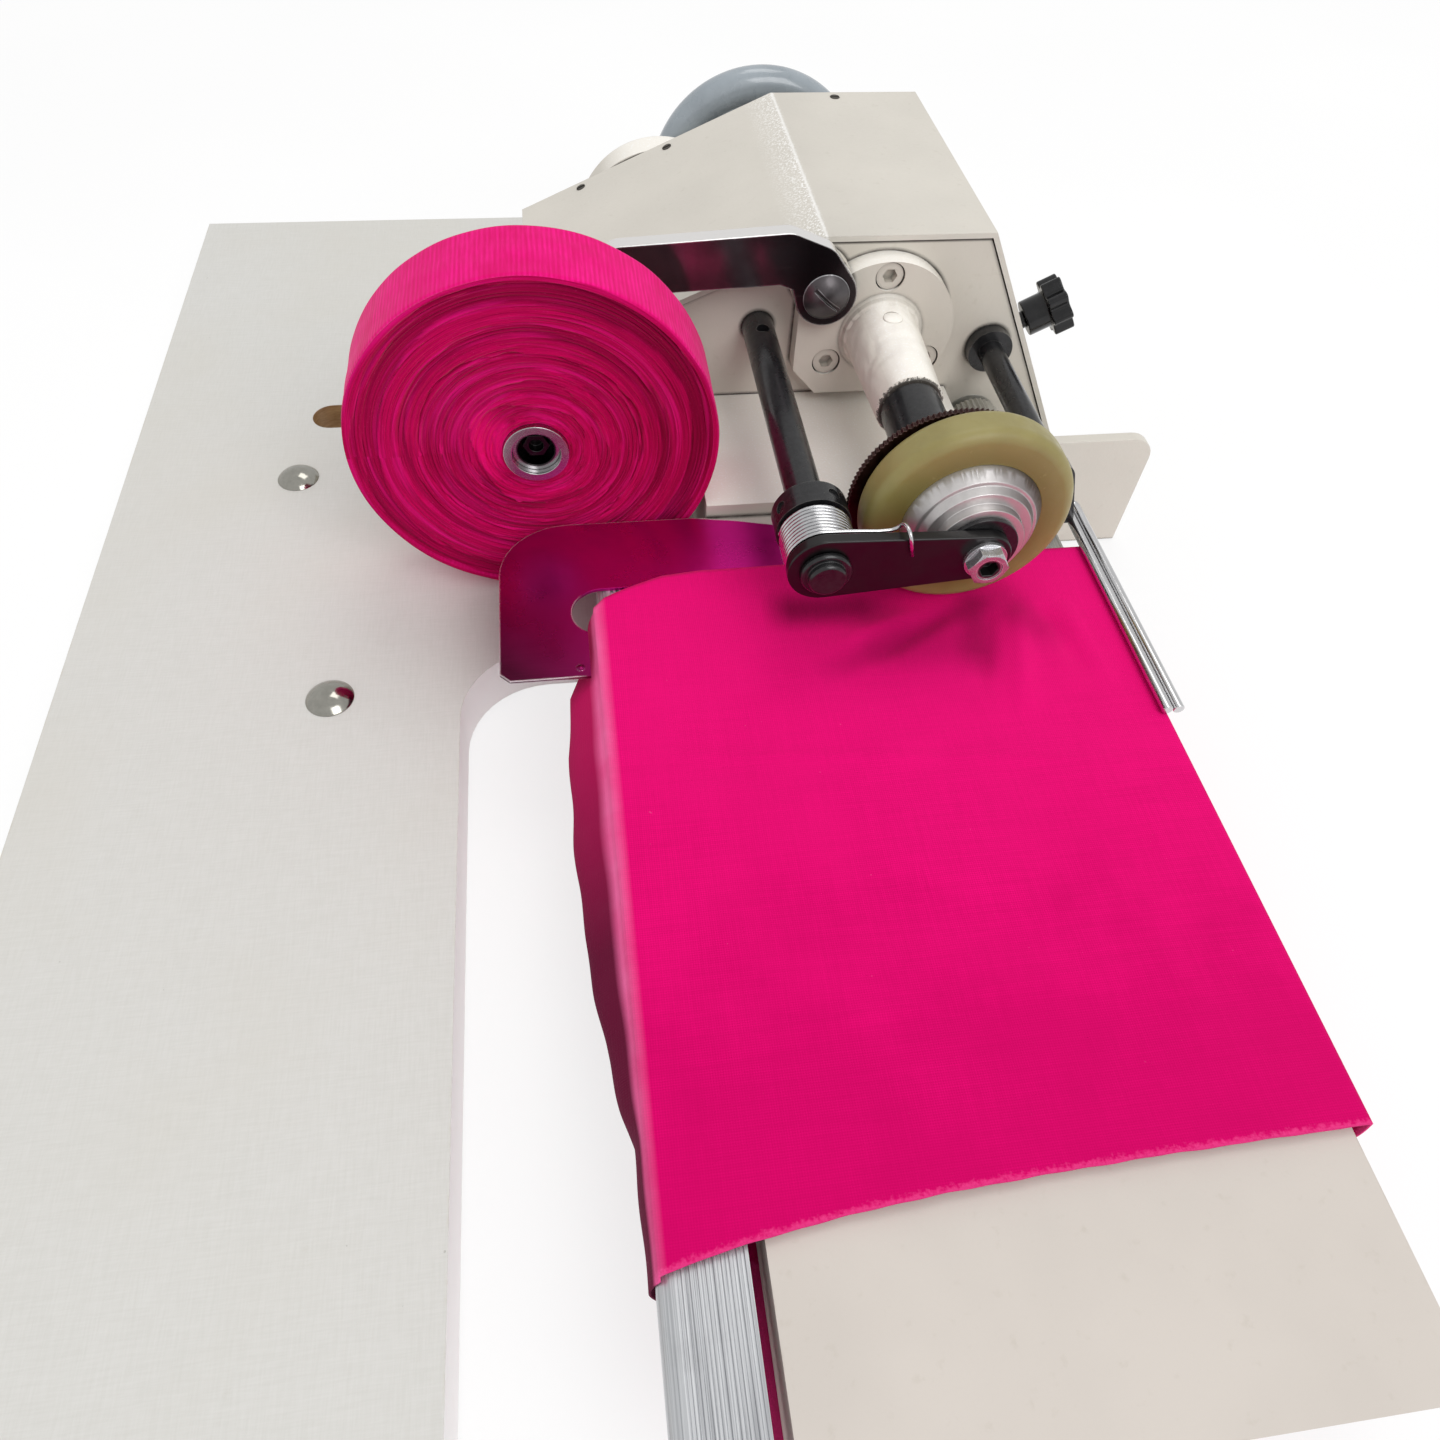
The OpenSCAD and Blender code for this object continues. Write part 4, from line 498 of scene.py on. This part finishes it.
def table_paint():
    m = Paint("table_laminate", Coat_Weight=0.08, Coat_Roughness=0.3)
    linen_x = m.noise(0.7, 3, 0.6, stretch=(14, 1, 1))
    linen_y = m.noise(0.7, 3, 0.6, stretch=(1, 14, 1))
    linen = m.math("MULTIPLY", m.math("ADD", linen_x, linen_y), 0.5)
    tone = m.mix(m.range(linen, 0.36, 0.64, 0, 1), srgb(208, 207, 202), srgb(215, 214, 210))
    tone = m.mix(m.range(m.noise(130, 4), 0.45, 0.72, 0, 0.5), tone, srgb(208, 205, 196))
    scuff = m.range(m.noise(26, 6, 0.7, distort=0.4), 0.66, 0.78, 0, 0.3)
    tone = m.mix(scuff, tone, srgb(190, 184, 170))
    speck = m.range(m.noise(3.0, 2), 0.78, 0.81, 0, 0.5)
    tone = m.mix(speck, tone, srgb(150, 146, 138))
    # The board's sides are painted near white, paler than its top, as painted light against the shade they lie in.
    # Only the oblong hole's side is left raw, and shows brown fibres.
    side = m.range(m.math("ABSOLUTE", m.normal("Z")), 0.5, 0.7, 1, 0)
    fibre = m.noise(1.4, 5, 0.7, stretch=(6, 6, 1))
    core = m.mix(m.range(fibre, 0.35, 0.65, 0, 1), srgb(146, 112, 74), srgb(178, 146, 104))
    x, y, _ = row((*HOLE_AT, 0)) * 1000
    far = m.math_v("LENGTH", m.math_v("MULTIPLY", m.math_v("SUBTRACT", m.mm, (x, y, 0)), (1, 1, 0)))
    band = m.mix(m.range(m.noise(14, 5), 0.6, 0.75, 0, 0.3), srgb(252, 252, 251), srgb(240, 237, 231))
    tone = m.mix(side, tone, m.mix(m.range(far, 46, 52, 1, 0), band, core))
    worn = m.math("MULTIPLY", m.edges(2.0), m.range(m.noise(11, 5, 0.65), 0.48, 0.66, 0, 0.7))
    m.colour(m.mix(worn, tone, srgb(190, 180, 160)))
    m.rough(m.range(linen, 0.3, 0.7, 0.5, 0.38))
    m.bump(linen, 0.05)
    return m.material


def tyre_paint():
    m = Paint(
        "tyre_polyurethane",
        Subsurface_Weight=0.25, Subsurface_Scale=0.005, Coat_Weight=0.15, Coat_Roughness=0.35,
    )
    m.shader.inputs["Subsurface Radius"].default_value = (1.0, 0.85, 0.35)
    cloud = m.noise(16, 4)
    rim = m.range(m.around(WHEEL), 30, 42, 0, 1)
    tone = m.mix(rim, srgb(118, 106, 54), srgb(148, 138, 84))
    tone = m.mix(m.range(cloud, 0.4, 0.72, 0, 0.4), tone, srgb(116, 104, 52))
    tone = m.mix(m.range(m.noise(3, 5), 0.68, 0.82, 0, 0.3), tone, srgb(186, 176, 122))
    m.colour(tone)
    m.rough(m.range(m.noise(5, 4), 0.3, 0.7, 0.36, 0.6))
    m.bump(m.noise(0.8, 3), 0.05)
    return m.material


def mirror_paint():
    """Polished plate. Painted reflection: deep magenta, dark at its near left corner and bright towards its far
    right, with painted highlights on its free edges.
    """
    m = Paint("mirror_plate", Metallic=0.85)
    fine = m.noise(0.5, 3, 0.6, stretch=(60, 1, 1))
    cloud = m.noise(24, 4)
    x, y, _ = row((*PLATE_CORNER, 0)) * 1000
    reach = m.math("ADD", m.math("SUBTRACT", m.part("X"), x), m.math("SUBTRACT", m.part("Y"), y))
    # Painted reflection: darker at the near left corner, bright magenta towards the far right
    tone = m.mix(m.range(reach, 10, 110, 0, 1), srgb(72, 6, 44), srgb(206, 8, 134))
    tone = m.mix(m.range(fine, 0.3, 0.7, 0, 0.12), tone, srgb(140, 40, 92))
    tone = m.mix(m.range(cloud, 0.55, 0.8, 0, 0.25), tone, srgb(112, 18, 66))
    free_left = m.range(m.part("X"), x + 30, x + 34, 1, 0)
    free_far = m.range(m.part("Y"), y + 50, y + 60, 0, 1)
    free = m.math("MAXIMUM", free_left, free_far)
    # Painted highlight on the free edges
    m.colour(m.mix(m.math("MULTIPLY", m.edges(1.1, 0.02, 0.1), free), tone, srgb(246, 240, 244)))
    m.rough(m.range(cloud, 0.3, 0.7, 0.24, 0.36))
    m.bump(fine, 0.002)
    return m.material


def handwheel_paint():
    m = Paint("handwheel_paint", Coat_Weight=0.6, Coat_Roughness=0.06)
    tone = m.mix(m.range(m.noise(30, 4), 0.4, 0.7, 0, 1), srgb(144, 153, 160), srgb(160, 169, 176))
    chip = m.math("MULTIPLY", m.edges(1.0), m.range(m.noise(6, 5), 0.55, 0.65, 0, 0.8))
    m.colour(m.mix(chip, tone, srgb(150, 152, 152)))
    m.rough(m.range(m.noise(10, 4), 0.3, 0.7, 0.2, 0.34))
    m.bump(m.noise(3.5, 2), 0.02)
    return m.material


def plastic_paint():
    m = Paint("knob_plastic", Coat_Weight=0.2, Coat_Roughness=0.05, Specular_IOR_Level=0.35)
    grain = m.noise(0.9, 3)
    m.colour(m.mix(m.range(m.noise(6, 4), 0.4, 0.7, 0, 1), srgb(8, 8, 9), srgb(20, 20, 22)))
    m.rough(m.range(grain, 0.3, 0.7, 0.14, 0.26))
    m.bump(grain, 0.008)
    return m.material


def rubber_paint():
    m = Paint("belt_rubber")
    m.colour(m.mix(m.noise(3, 4), srgb(22, 22, 22), srgb(44, 43, 42)))
    m.rough(m.range(m.noise(2, 3), 0.3, 0.7, 0.7, 0.9))
    m.bump(m.noise(0.6, 2), 0.04)
    return m.material


def chrome_paint():
    """Polished bar with fine scratches. Painted reflection: bright on top, dark on its sides and towards its end,
    with painted highlights on its edges.
    """
    m = Paint("chrome_bar", Metallic=0.85)
    scratch = m.noise(0.5, 3, 0.6, stretch=(40, 1, 3))
    cloud = m.noise(16, 4)
    tone = m.mix(m.range(cloud, 0.4, 0.7, 0, 1), srgb(112, 102, 107), srgb(84, 76, 80))
    tone = m.mix(m.range(scratch, 0.66, 0.74, 0, 0.6), tone, srgb(180, 176, 178))
    # Painted reflection: darker towards the bar's end, bright on faces that look up, and a painted highlight on
    # the edges.
    end, _, _ = row((BAR_END, 0, 0)) * 1000
    tone = m.mix(m.range(m.part("X"), end - 16, end + 6, 0, 0.85), tone, srgb(38, 32, 36))
    tone = m.mix(m.range(m.normal("Z"), 0.3, 0.7, 0, 1), tone, srgb(240, 238, 236))
    m.colour(m.mix(m.edges(1.2, 0.01, 0.1), tone, srgb(244, 242, 242)))
    m.rough(m.range(cloud, 0.3, 0.7, 0.1, 0.2))
    m.bump(scratch, 0.01)
    return m.material


def bar_paint():
    m = Paint("bar_aluminium", Metallic=0.7)
    drawn = m.noise(0.5, 4, 0.65, stretch=(1, 120, 1))
    tone = m.mix(m.range(drawn, 0.3, 0.7, 0, 1), srgb(160, 162, 166), srgb(222, 224, 226))
    m.colour(m.mix(m.range(m.noise(20, 4), 0.55, 0.75, 0, 0.4), tone, srgb(150, 150, 152)))
    m.rough(m.range(drawn, 0.3, 0.7, 0.26, 0.42))
    m.bump(drawn, 0.05)
    return m.material


finish = {
    "table_laminate": table_paint(),
    "zinc_steel": steel("zinc_steel", srgb(196, 197, 198), 0.24, 0.12, stain=0.18),
    "cream_casting": cream_paint("cream_casting", CREAM, 0.8, 0.35, chipped_nose),
    "cream_sheet": cream_paint("cream_sheet", srgb(214, 209, 199), 1.0, more=fold_highlight),
    "cover_screw": steel("cover_screw", srgb(92, 88, 82), 0.45),
    "socket_screw": cream_paint("socket_screw", srgb(206, 200, 189), 0.6, 0.25, dirty=0.35),
    "bronze": steel("bronze", srgb(196, 150, 88), 0.4, 0.15),
    "ground_steel": steel("ground_steel", srgb(188, 188, 190), 0.22, 0.1, grain=(1, 8, 1), size=1.0),
    "black_steel": black_oxide("black_steel"),
    "knife_steel": steel("knife_steel", srgb(66, 44, 42), 0.42, 0.2, stain=0.4, edge=srgb(134, 112, 106)),
    "gear_steel": steel("gear_steel", srgb(146, 146, 150), 0.34, edge=BRIGHT),
    "pulley_alloy": steel("pulley_alloy", srgb(182, 183, 186), 0.34),
    "handwheel_paint": handwheel_paint(),
    "motor_paint": cream_paint("motor_paint", srgb(146, 148, 150), 0.8),
    "belt_rubber": rubber_paint(),
    "fluted_steel": steel(
        "fluted_steel", srgb(200, 198, 190), 0.4, 0.16,
        grain=(1, 14, 1), size=1.4, edge=srgb(224, 222, 216), metal=0.6,
    ),
    "spring_steel": steel("spring_steel", srgb(206, 206, 208), 0.2, 0.1, stain=0.15),
    "tyre_polyurethane": tyre_paint(),
    "hub_aluminium": lathe_metal(
        "hub_aluminium", srgb(212, 209, 208), WHEEL, rough=0.38, metal=0.85, dark=srgb(118, 108, 108),
    ),
    "chrome_bar": chrome_paint(),
    "core_steel": lathe_metal("core_steel", srgb(186, 184, 186), ROLL, 0.5, 0.2, 1.0, bore=8.2),
    "knob_plastic": plastic_paint(),
    "arm_paint": cream_paint("arm_paint", srgb(207, 199, 191), 0.5),
    "bar_aluminium": bar_paint(),
    "mirror_plate": mirror_paint(),
    "pink_cloth": cloth_paint("pink_cloth", PINK, PINK_SHADE, srgb(86, 0, 36)),
    "pink_strip": strip_paint("pink_strip", srgb(244, 22, 138), srgb(204, 3, 90), srgb(148, 3, 58)),
}
# Finishes of single pieces, in place of their slot's
finish["bolt_chrome"] = steel("bolt_chrome", srgb(168, 166, 158), 0.14, 0.06, stain=0.15)
finish["screw_grey"] = steel("screw_grey", srgb(88, 84, 86), 0.32, 0.1, stain=0.2, edge=BRIGHT, metal=0.7)
finish["arm_black"] = black_oxide("arm_black", 0.4, srgb(8, 6, 7), srgb(18, 15, 16))
finish["axle_end"] = lathe_metal("axle_end", srgb(206, 205, 206), WHEEL, 0.5, 0.25, bore=4.4)
finish["nut_zinc"] = steel(
    "nut_zinc", srgb(184, 184, 187), 0.2, 0.1, stain=0.15, edge=srgb(238, 238, 240), metal=0.78,
)
finish["front_cream"] = cream_paint("front_cream", CREAM, 0.8, 0.35, seam_shade_and_dirt)
finish["bright_wire"] = steel(
    "bright_wire", srgb(216, 216, 217), 0.16, 0.08, grain=(1, 10, 1), size=1.2, stain=0.12,
)
OWN = {
    "table_bolts": "bolt_chrome", "roll_pivot_screw": "screw_grey", "swing_arm": "arm_black",
    "wheel_axle": "axle_end", "feed_bush": "fluted_steel", "hairpin_guide": "bright_wire",
    "axle_nut": "nut_zinc", "front_plate": "front_cream",
}
slot_of = {s["node"]: s["material_slot"] for s in frame["record"]["subparts"]}


# ---------------------------------------------------------------- rigid CAD nodes

# Edge radius in millimetres of each piece, PLAIN_ROUND where it isn't named
PLAIN_ROUND = 0.35
ROUND = {
    "head_cover": 1.4, "base_casting": 1.8, "front_plate": 0.6, "bearing_nose": 1.2, "table_top": 1.2,
    "guard_plate": 0.8, "fabric_arm": 0.9, "motor_cap": 1.0, "handwheel": 0.8, "star_knob": 0.7,
    "swing_arm": 0.7, "clamp_collar": 0.5, "roll_arm": 0.9, "axle_nut": 0.5, "guide_plate": 0.3,
    "knife_disc": 0.12, "feed_roller": 0.12, "knife_gear": 0.15, "drive_gear": 0.15, "width_bar": 0.15,
}
FINE = {"knife_disc", "feed_roller", "knife_gear", "drive_gear", "width_bar"}
SOFT = {"fabric_tube", "strip_roll", "torsion_spring"}


def dress(name):
    node = NODES[name]
    node.data.materials.clear()
    node.data.materials.append(finish[OWN.get(name, slot_of[name])])
    node.modifiers.new("weld", "WELD").merge_threshold = 1e-6
    flat = node.modifiers.new("flat", "DECIMATE")
    flat.decimate_type = "DISSOLVE"
    flat.angle_limit = math.radians(0.8)
    bevel = node.modifiers.new("bevel", "BEVEL")
    bevel.width = ROUND.get(name, PLAIN_ROUND) / 1000
    bevel.segments = 2 if name in FINE else 3
    bevel.limit_method = "ANGLE"
    bevel.angle_limit = math.radians(35)
    bevel.use_clamp_overlap = True
    even = node.modifiers.new("even", "WEIGHTED_NORMAL")
    even.weight = 60
    even.keep_sharp = False


for name in NODES:
    if name not in SOFT:
        dress(name)


# ---------------------------------------------------------------- meshes

def new_piece(name, points, faces, slot, body=None):
    mesh = bpy.data.meshes.new(name)
    mesh.from_pydata([tuple(p) for p in points], [], [tuple(f) for f in faces])
    mesh.validate()
    mesh.update()
    mesh.polygons.foreach_set("use_smooth", [True] * len(mesh.polygons))
    mesh.materials.append(finish[slot])
    piece = bpy.data.objects.new(name, mesh)
    bpy.context.scene.collection.objects.link(piece)
    if body:
        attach(piece, body)
    return piece


def grid_faces(rows, columns, close_rows=False):
    """Quads of a grid that is closed along its columns."""
    last_row = rows if close_rows else rows - 1
    return [
        (
            i * columns + j,
            i * columns + (j + 1) % columns,
            (i + 1) % rows * columns + (j + 1) % columns,
            (i + 1) % rows * columns + j,
        )
        for i in range(last_row)
        for j in range(columns)
    ]


def smooth_noise(shape, periods, seed):
    """Smooth values from -1 to 1 on a grid, with about that many swings along each axis.

    It closes on itself along the second axis.
    """
    rng = np.random.default_rng(seed)
    total = np.zeros(shape)
    i = np.linspace(0, 1, shape[0])[:, None]
    j = np.linspace(0, 1, shape[1], endpoint=False)[None, :]
    for _ in range(14):
        a = rng.uniform(-1, 1) * periods[0]
        b = round(rng.uniform(-1, 1) * periods[1])
        total += np.sin(2 * math.pi * (a * i + b * j) + rng.uniform(0, 2 * math.pi))
    return total / 4.0


# Fabric tube

def mix(a, b, t):
    return a + (b - a) * t


def ease(a, b, v):
    t = np.clip((v - a) / (b - a), 0, 1)
    return t * t * (3 - 2 * t)


def crease_height(x, y):
    total = np.zeros_like(x)
    for x0, y0, x1, y1, wide, high in CREASES:
        length = math.hypot(x1 - x0, y1 - y0)
        ux, uy = (x1 - x0) / length, (y1 - y0) / length
        along = ((x - x0) * ux + (y - y0) * uy) / length
        aside = (x - x0) * uy - (y - y0) * ux
        total += high * np.exp(-((aside / wide) ** 2)) * ease(-0.15, 0.25, along) * ease(1.2, 0.7, along)
    return total


def make_fabric():
    top_n, side_n, rings = 140, 26, 130

    def near_edge(x):
        return NEAR_EDGE + NEAR_RISE * (1 - np.exp(-(x - LEFT) / NEAR_FADE))

    def slack(u, s):
        low = TUBE_HANG - 16 * np.sin(np.pi * u) * (0.25 + 0.75 * math.sin(math.pi / 2 + math.pi * (s - 0.55)))
        return low - 3 * (1 - np.cos(2 * np.pi * 3 * u)) * (0.4 + 0.6 * s) / 2

    u = np.linspace(0, 1, top_n)
    v = np.arange(1, side_n + 1) / (side_n + 1)
    w = np.sin(np.pi * v)
    outer = []
    for s in np.linspace(0, 1, rings):
        bulge = np.interp(mix(BULGE[0][-1], NEAR_EDGE, s), *BULGE)
        left_x = LEFT + mix(-1.3, 1.5, s)
        x = mix(left_x + FOLD, RIGHT - FOLD, u)
        far = np.interp(x, *FAR_EDGE)
        top = np.stack([x, mix(far, near_edge(x), s), np.full(top_n, CLOTH_TOP)], 1)
        right = np.stack([
            RIGHT - FOLD + FOLD * w,
            mix(mix(FAR_TOP, FAR_LOW, v), near_edge(RIGHT), s),
            mix(CLOTH_TOP, float(slack(0.0, s)), v),
        ], 1)
        x = x[::-1]
        longer = np.minimum(1, np.minimum(u, 1 - u) / 0.12)
        low = np.stack([x, mix(FAR_LOW, mix(near_edge(x), NEAR_LOW, longer), s), slack(u, s)], 1)
        left = np.stack([
            left_x + FOLD - FOLD * w - bulge * w * w,
            mix(mix(FAR_LOW, FAR_EDGE[1][0], v), near_edge(LEFT), s),
            mix(float(slack(1.0, s)), CLOTH_TOP, v),
        ], 1)
        outer.append(np.concatenate([top, right, low, left]))
    outer = np.array(outer)
    m = outer.shape[1]
    along = (np.roll(outer, -1, 1) - np.roll(outer, 1, 1))[:, :, [0, 2]]
    along /= np.linalg.norm(along, axis=2, keepdims=True)
    inward = np.stack([along[:, :, 1], np.zeros((rings, m)), -along[:, :, 0]], 2)

    # Creases and waves of the upper layer, which lies flat under the wheel, the plate and the wire guide
    x, y = outer[:, :, 0], outer[:, :, 1]
    wave = smooth_noise((rings, m), (5, 9), 3)
    ripple = smooth_noise((rings, m), (16, 14), 5)
    on_top = np.zeros(m)
    on_top[:top_n] = np.sin(np.pi * u) ** 0.4
    free = ease(-170, -215, y)
    lift = crease_height(x, y) * ease(-134, -148, y) * np.maximum(ease(66, 54, x), ease(-206, -216, y))
    lift = np.where((x < -58) & (y > -166), np.maximum(lift, 0), lift)
    lift += free * (0.35 * wave + 0.12 * ripple)
    curl = 2.2 * np.exp(-(((x + 132) / 34) ** 2)) * ease(-132, -112, y)
    hem = ease(12, 0, y - near_edge(x)) * (0.15 * np.sin(x / 17) + 0.1 * np.sin(x / 6.3 + 1) + 0.4)
    low_part = np.zeros(m)
    low_part[top_n + side_n : 2 * top_n + side_n] = 1
    sway = np.sin(np.pi * np.linspace(0, 1, rings))[:, None] * (1.0 * wave + 0.4 * ripple)
    outer[:, :, 2] += on_top * (lift + curl + hem) + low_part * sway
    outer[:, :, 1] += on_top * ease(10, 0, y - near_edge(x)) * 0.1 * (np.sin(x / 5.1) + np.sin(x / 2.3 + 2))
    side = np.zeros(m)
    side[2 * top_n + side_n :] = w
    held_far = ease(0, 0.12, np.linspace(0, 1, rings))[:, None]
    outer[:, :, 0] += side * 0.6 * smooth_noise((rings, m), (9, 3), 13) * held_far
    points = np.concatenate([outer, (outer + inward * CLOTH_THICK)[::-1]]).reshape(-1, 3)
    faces = [f[::-1] for f in grid_faces(2 * rings, m, close_rows=True)]
    piece = new_piece("fabric_sleeve", row(points), faces, "pink_cloth")
    rest = piece.data.attributes.new("rest", "FLOAT_VECTOR", "POINT")
    rest.data.foreach_set("vector", row(points).ravel())
    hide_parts("fabric_tube")
    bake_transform(piece)


make_fabric()


# Wound strip

def make_roll():
    core, out = ROLL_CORE, ROLL_OUT
    front, back = ROLL_FRONT, ROLL_BACK
    layers, turns = 130, 220
    angle = np.linspace(0, 2 * math.pi, turns, endpoint=False)
    rng = np.random.default_rng(11)
    # Groups of layers stand in or out of the face. Their bounds wander round the roll, as the layers do.
    pitch = (out - 0.8 - core) / layers
    bounds = np.sort(rng.uniform(0, layers, 26))
    levels = rng.uniform(-1, 1, 27)
    wander = 5.0 * smooth_noise((layers, turns), (3, 4), 8)
    wander = wander + 0.8 * smooth_noise((layers, turns), (30, 24), 18)
    place = np.arange(layers)[:, None] + wander
    group = sum(
        (levels[k + 1] - levels[k]) * ease(bound - 0.6, bound + 0.6, place) for k, bound in enumerate(bounds)
    ) + levels[0]
    each = rng.uniform(-0.35, 0.35, layers)[:, None]
    each = each + 0.3 * smooth_noise((layers, turns), (60, 7), 9)
    dish = 0.9 * smooth_noise((layers, turns), (1.2, 1.4), 17)
    depth = np.clip(1.5 + 0.95 * group + each + dish, 0.15, 3.6)
    lip = 0.15 + 0.55 * (1 + smooth_noise((2, turns), (1, 11), 23)[0])
    depth[-4:] = np.outer((0.5, 0.7, 0.85, 1), lip)
    radius = core + pitch * np.arange(layers)[:, None]
    radius = radius + pitch * 0.35 * smooth_noise((layers, turns), (40, 5), 10)
    radius[0] = core

    def at(r, y):
        r, y = np.broadcast_to(r, angle.shape), np.broadcast_to(y, angle.shape)
        return np.stack([ROLL[0] + r * np.cos(angle), y, ROLL[1] + r * np.sin(angle)], 1)

    loops = []
    for i in range(layers):
        loops.append(at(radius[i], front + depth[i] + 0.25))
        loops.append(at(radius[i] + 0.55 * pitch, front + depth[i]))
    # The rim is crowned a little, and its last lap ends in a step
    lap = 0.7 * ((angle / (2 * math.pi) + 0.31) % 1.0)
    wrinkle = smooth_noise((40, turns), (3, 24), 21)
    for k, share in enumerate(np.linspace(0, 1, 40)):
        edge = 0.6 * (1 - min(1, min(share, 1 - share) / 0.05)) ** 2
        loops.append(at(out - lap - edge - 0.12 - 0.12 * wrinkle[k], mix(front + 0.1 + lip, back - 0.3, share)))
    for i in range(layers - 1, -1, -3):
        loops.append(at(radius[i], back - np.clip(depth[i][::-1], 0.15, 2.2)))
    loops.append(at(core, back - 0.8))
    n = len(loops)
    faces = grid_faces(n, turns, close_rows=True)
    piece = new_piece("wound_strip", row(np.concatenate(loops)), faces, "pink_strip", "wound_roll")
    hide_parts("strip_roll")


make_roll()


# Torsion spring

def tube(line, d, sides):
    """A round wire of diameter d along a line of points, closed at its ends."""
    line = np.asarray(line, float)
    n = len(line)
    tangent = np.gradient(line, axis=0)
    tangent /= np.linalg.norm(tangent, axis=1, keepdims=True)
    u = np.cross(tangent[0], (0.0, 1.0, 0.2))
    rings = []
    turn = np.linspace(0, 2 * math.pi, sides, endpoint=False)
    for i in range(n):
        u = u - tangent[i] * (u @ tangent[i])
        u /= np.linalg.norm(u)
        v = np.cross(tangent[i], u)
        rings.append(line[i] + d / 2 * (np.cos(turn)[:, None] * u + np.sin(turn)[:, None] * v))
    faces = grid_faces(n, sides) + [tuple(range(sides))[::-1], tuple((n - 1) * sides + k for k in range(sides))]
    return np.concatenate(rings), faces


def make_spring():
    y0, y1 = SPRING_FAR, SPRING_NEAR
    t = np.linspace(0, 1, 300)
    a = math.pi / 2 + 2 * math.pi * SPRING_TURNS * (1 - t)
    curl = np.stack([PIVOT[0] + SPRING_R * np.cos(a), mix(y0, y1, t), PIVOT[1] + SPRING_R * np.sin(a)], 1)
    tail = np.array([curl[0] + (0, s, 0) for s in (1.6, 1.2, 0.8, 0.4)])
    hook = np.array([
        (-50, y1, 13.4), (-44, y1, 13.1), (-37, y1, 12.6), (-32.5, y1, 12.8), (-30.4, y1, 13.6),
        (-29.3, y1 - 0.2, 15.0), (-28.7, y1 - 0.9, 16.3), (-28.3, -151, 17.1), (-28, -152.8, 17.3),
        (-27.7, -154.6, 16.9), (-27.4, -156, 15.8), (-27, -156.5, 14.2), (-26.4, -156.5, 11.6),
        (-25.2, -156.5, 6.8),
    ])
    points, faces = tube(np.concatenate([tail, curl, hook]), SPRING_WIRE, 12)
    piece = new_piece("spring_wire", row(points), faces, "spring_steel")
    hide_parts("torsion_spring")
    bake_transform(piece)


make_spring()


# ---------------------------------------------------------------- stage and light

# The floor's half side and depth in metres, and how much of its own white is seen
FLOOR_HALF, FLOOR_Z = 6.0, -0.0005
FLOOR_WHITE = 0.72
WORLD_LIGHT = 0.74


def make_stage():
    mesh = bpy.data.meshes.new("floor")
    corners = [(x * FLOOR_HALF, y * FLOOR_HALF, FLOOR_Z) for x, y in ((-1, -1), (1, -1), (1, 1), (-1, 1))]
    mesh.from_pydata(corners, [], [(0, 1, 2, 3)])
    floor = bpy.data.objects.new("floor", mesh)
    bpy.context.scene.collection.objects.link(floor)
    m = Paint("floor", Roughness=0.9)
    m.colour(m.mix(m.range(m.noise(400, 2), 0.4, 0.6, 0, 1), (0.93, 0.93, 0.93), (0.96, 0.96, 0.96)))
    # Seen straight or in metal the floor is near white, and still keeps part of the shadow
    path = m.add("ShaderNodeLightPath")
    seen = m.math("MAXIMUM", path.outputs["Is Camera Ray"], path.outputs["Is Glossy Ray"])
    blend = m.add("ShaderNodeMixShader")
    m.put(blend.inputs[0], m.math("MULTIPLY", seen, FLOOR_WHITE))
    m.put(blend.inputs[1], m.shader.outputs[0])
    m.put(blend.inputs[2], m.add("ShaderNodeEmission").outputs[0])
    m.put(m.tree.nodes["Material Output"].inputs["Surface"], blend.outputs[0])
    mesh.materials.append(m.material)


def lamp(name, place, aim, size, power, colour=(1, 1, 1)):
    data = bpy.data.lights.new(name, "AREA")
    data.shape = "RECTANGLE"
    data.size, data.size_y = size
    data.energy = power
    data.color = colour
    light = bpy.data.objects.new(name, data)
    light.location = place
    light.rotation_euler = (Vector(aim) - Vector(place)).to_track_quat("-Z", "Y").to_euler()
    bpy.context.scene.collection.objects.link(light)


make_stage()
lamp("key", (0.9, -1.9, 2.2), (0.05, -0.05, 0.08), (1.6, 1.6), 32)
lamp("top", (0.4, 0.9, 2.4), (0.05, -0.1, 0.08), (1.2, 1.0), 9, (1, 0.985, 0.96))
world = bpy.data.worlds.new("world")
world.use_nodes = True
world.node_tree.nodes["Background"].inputs["Color"].default_value = (1, 1, 1, 1)
world.node_tree.nodes["Background"].inputs["Strength"].default_value = WORLD_LIGHT
bpy.context.scene.world = world
bpy.context.scene.view_settings.view_transform = "Standard"
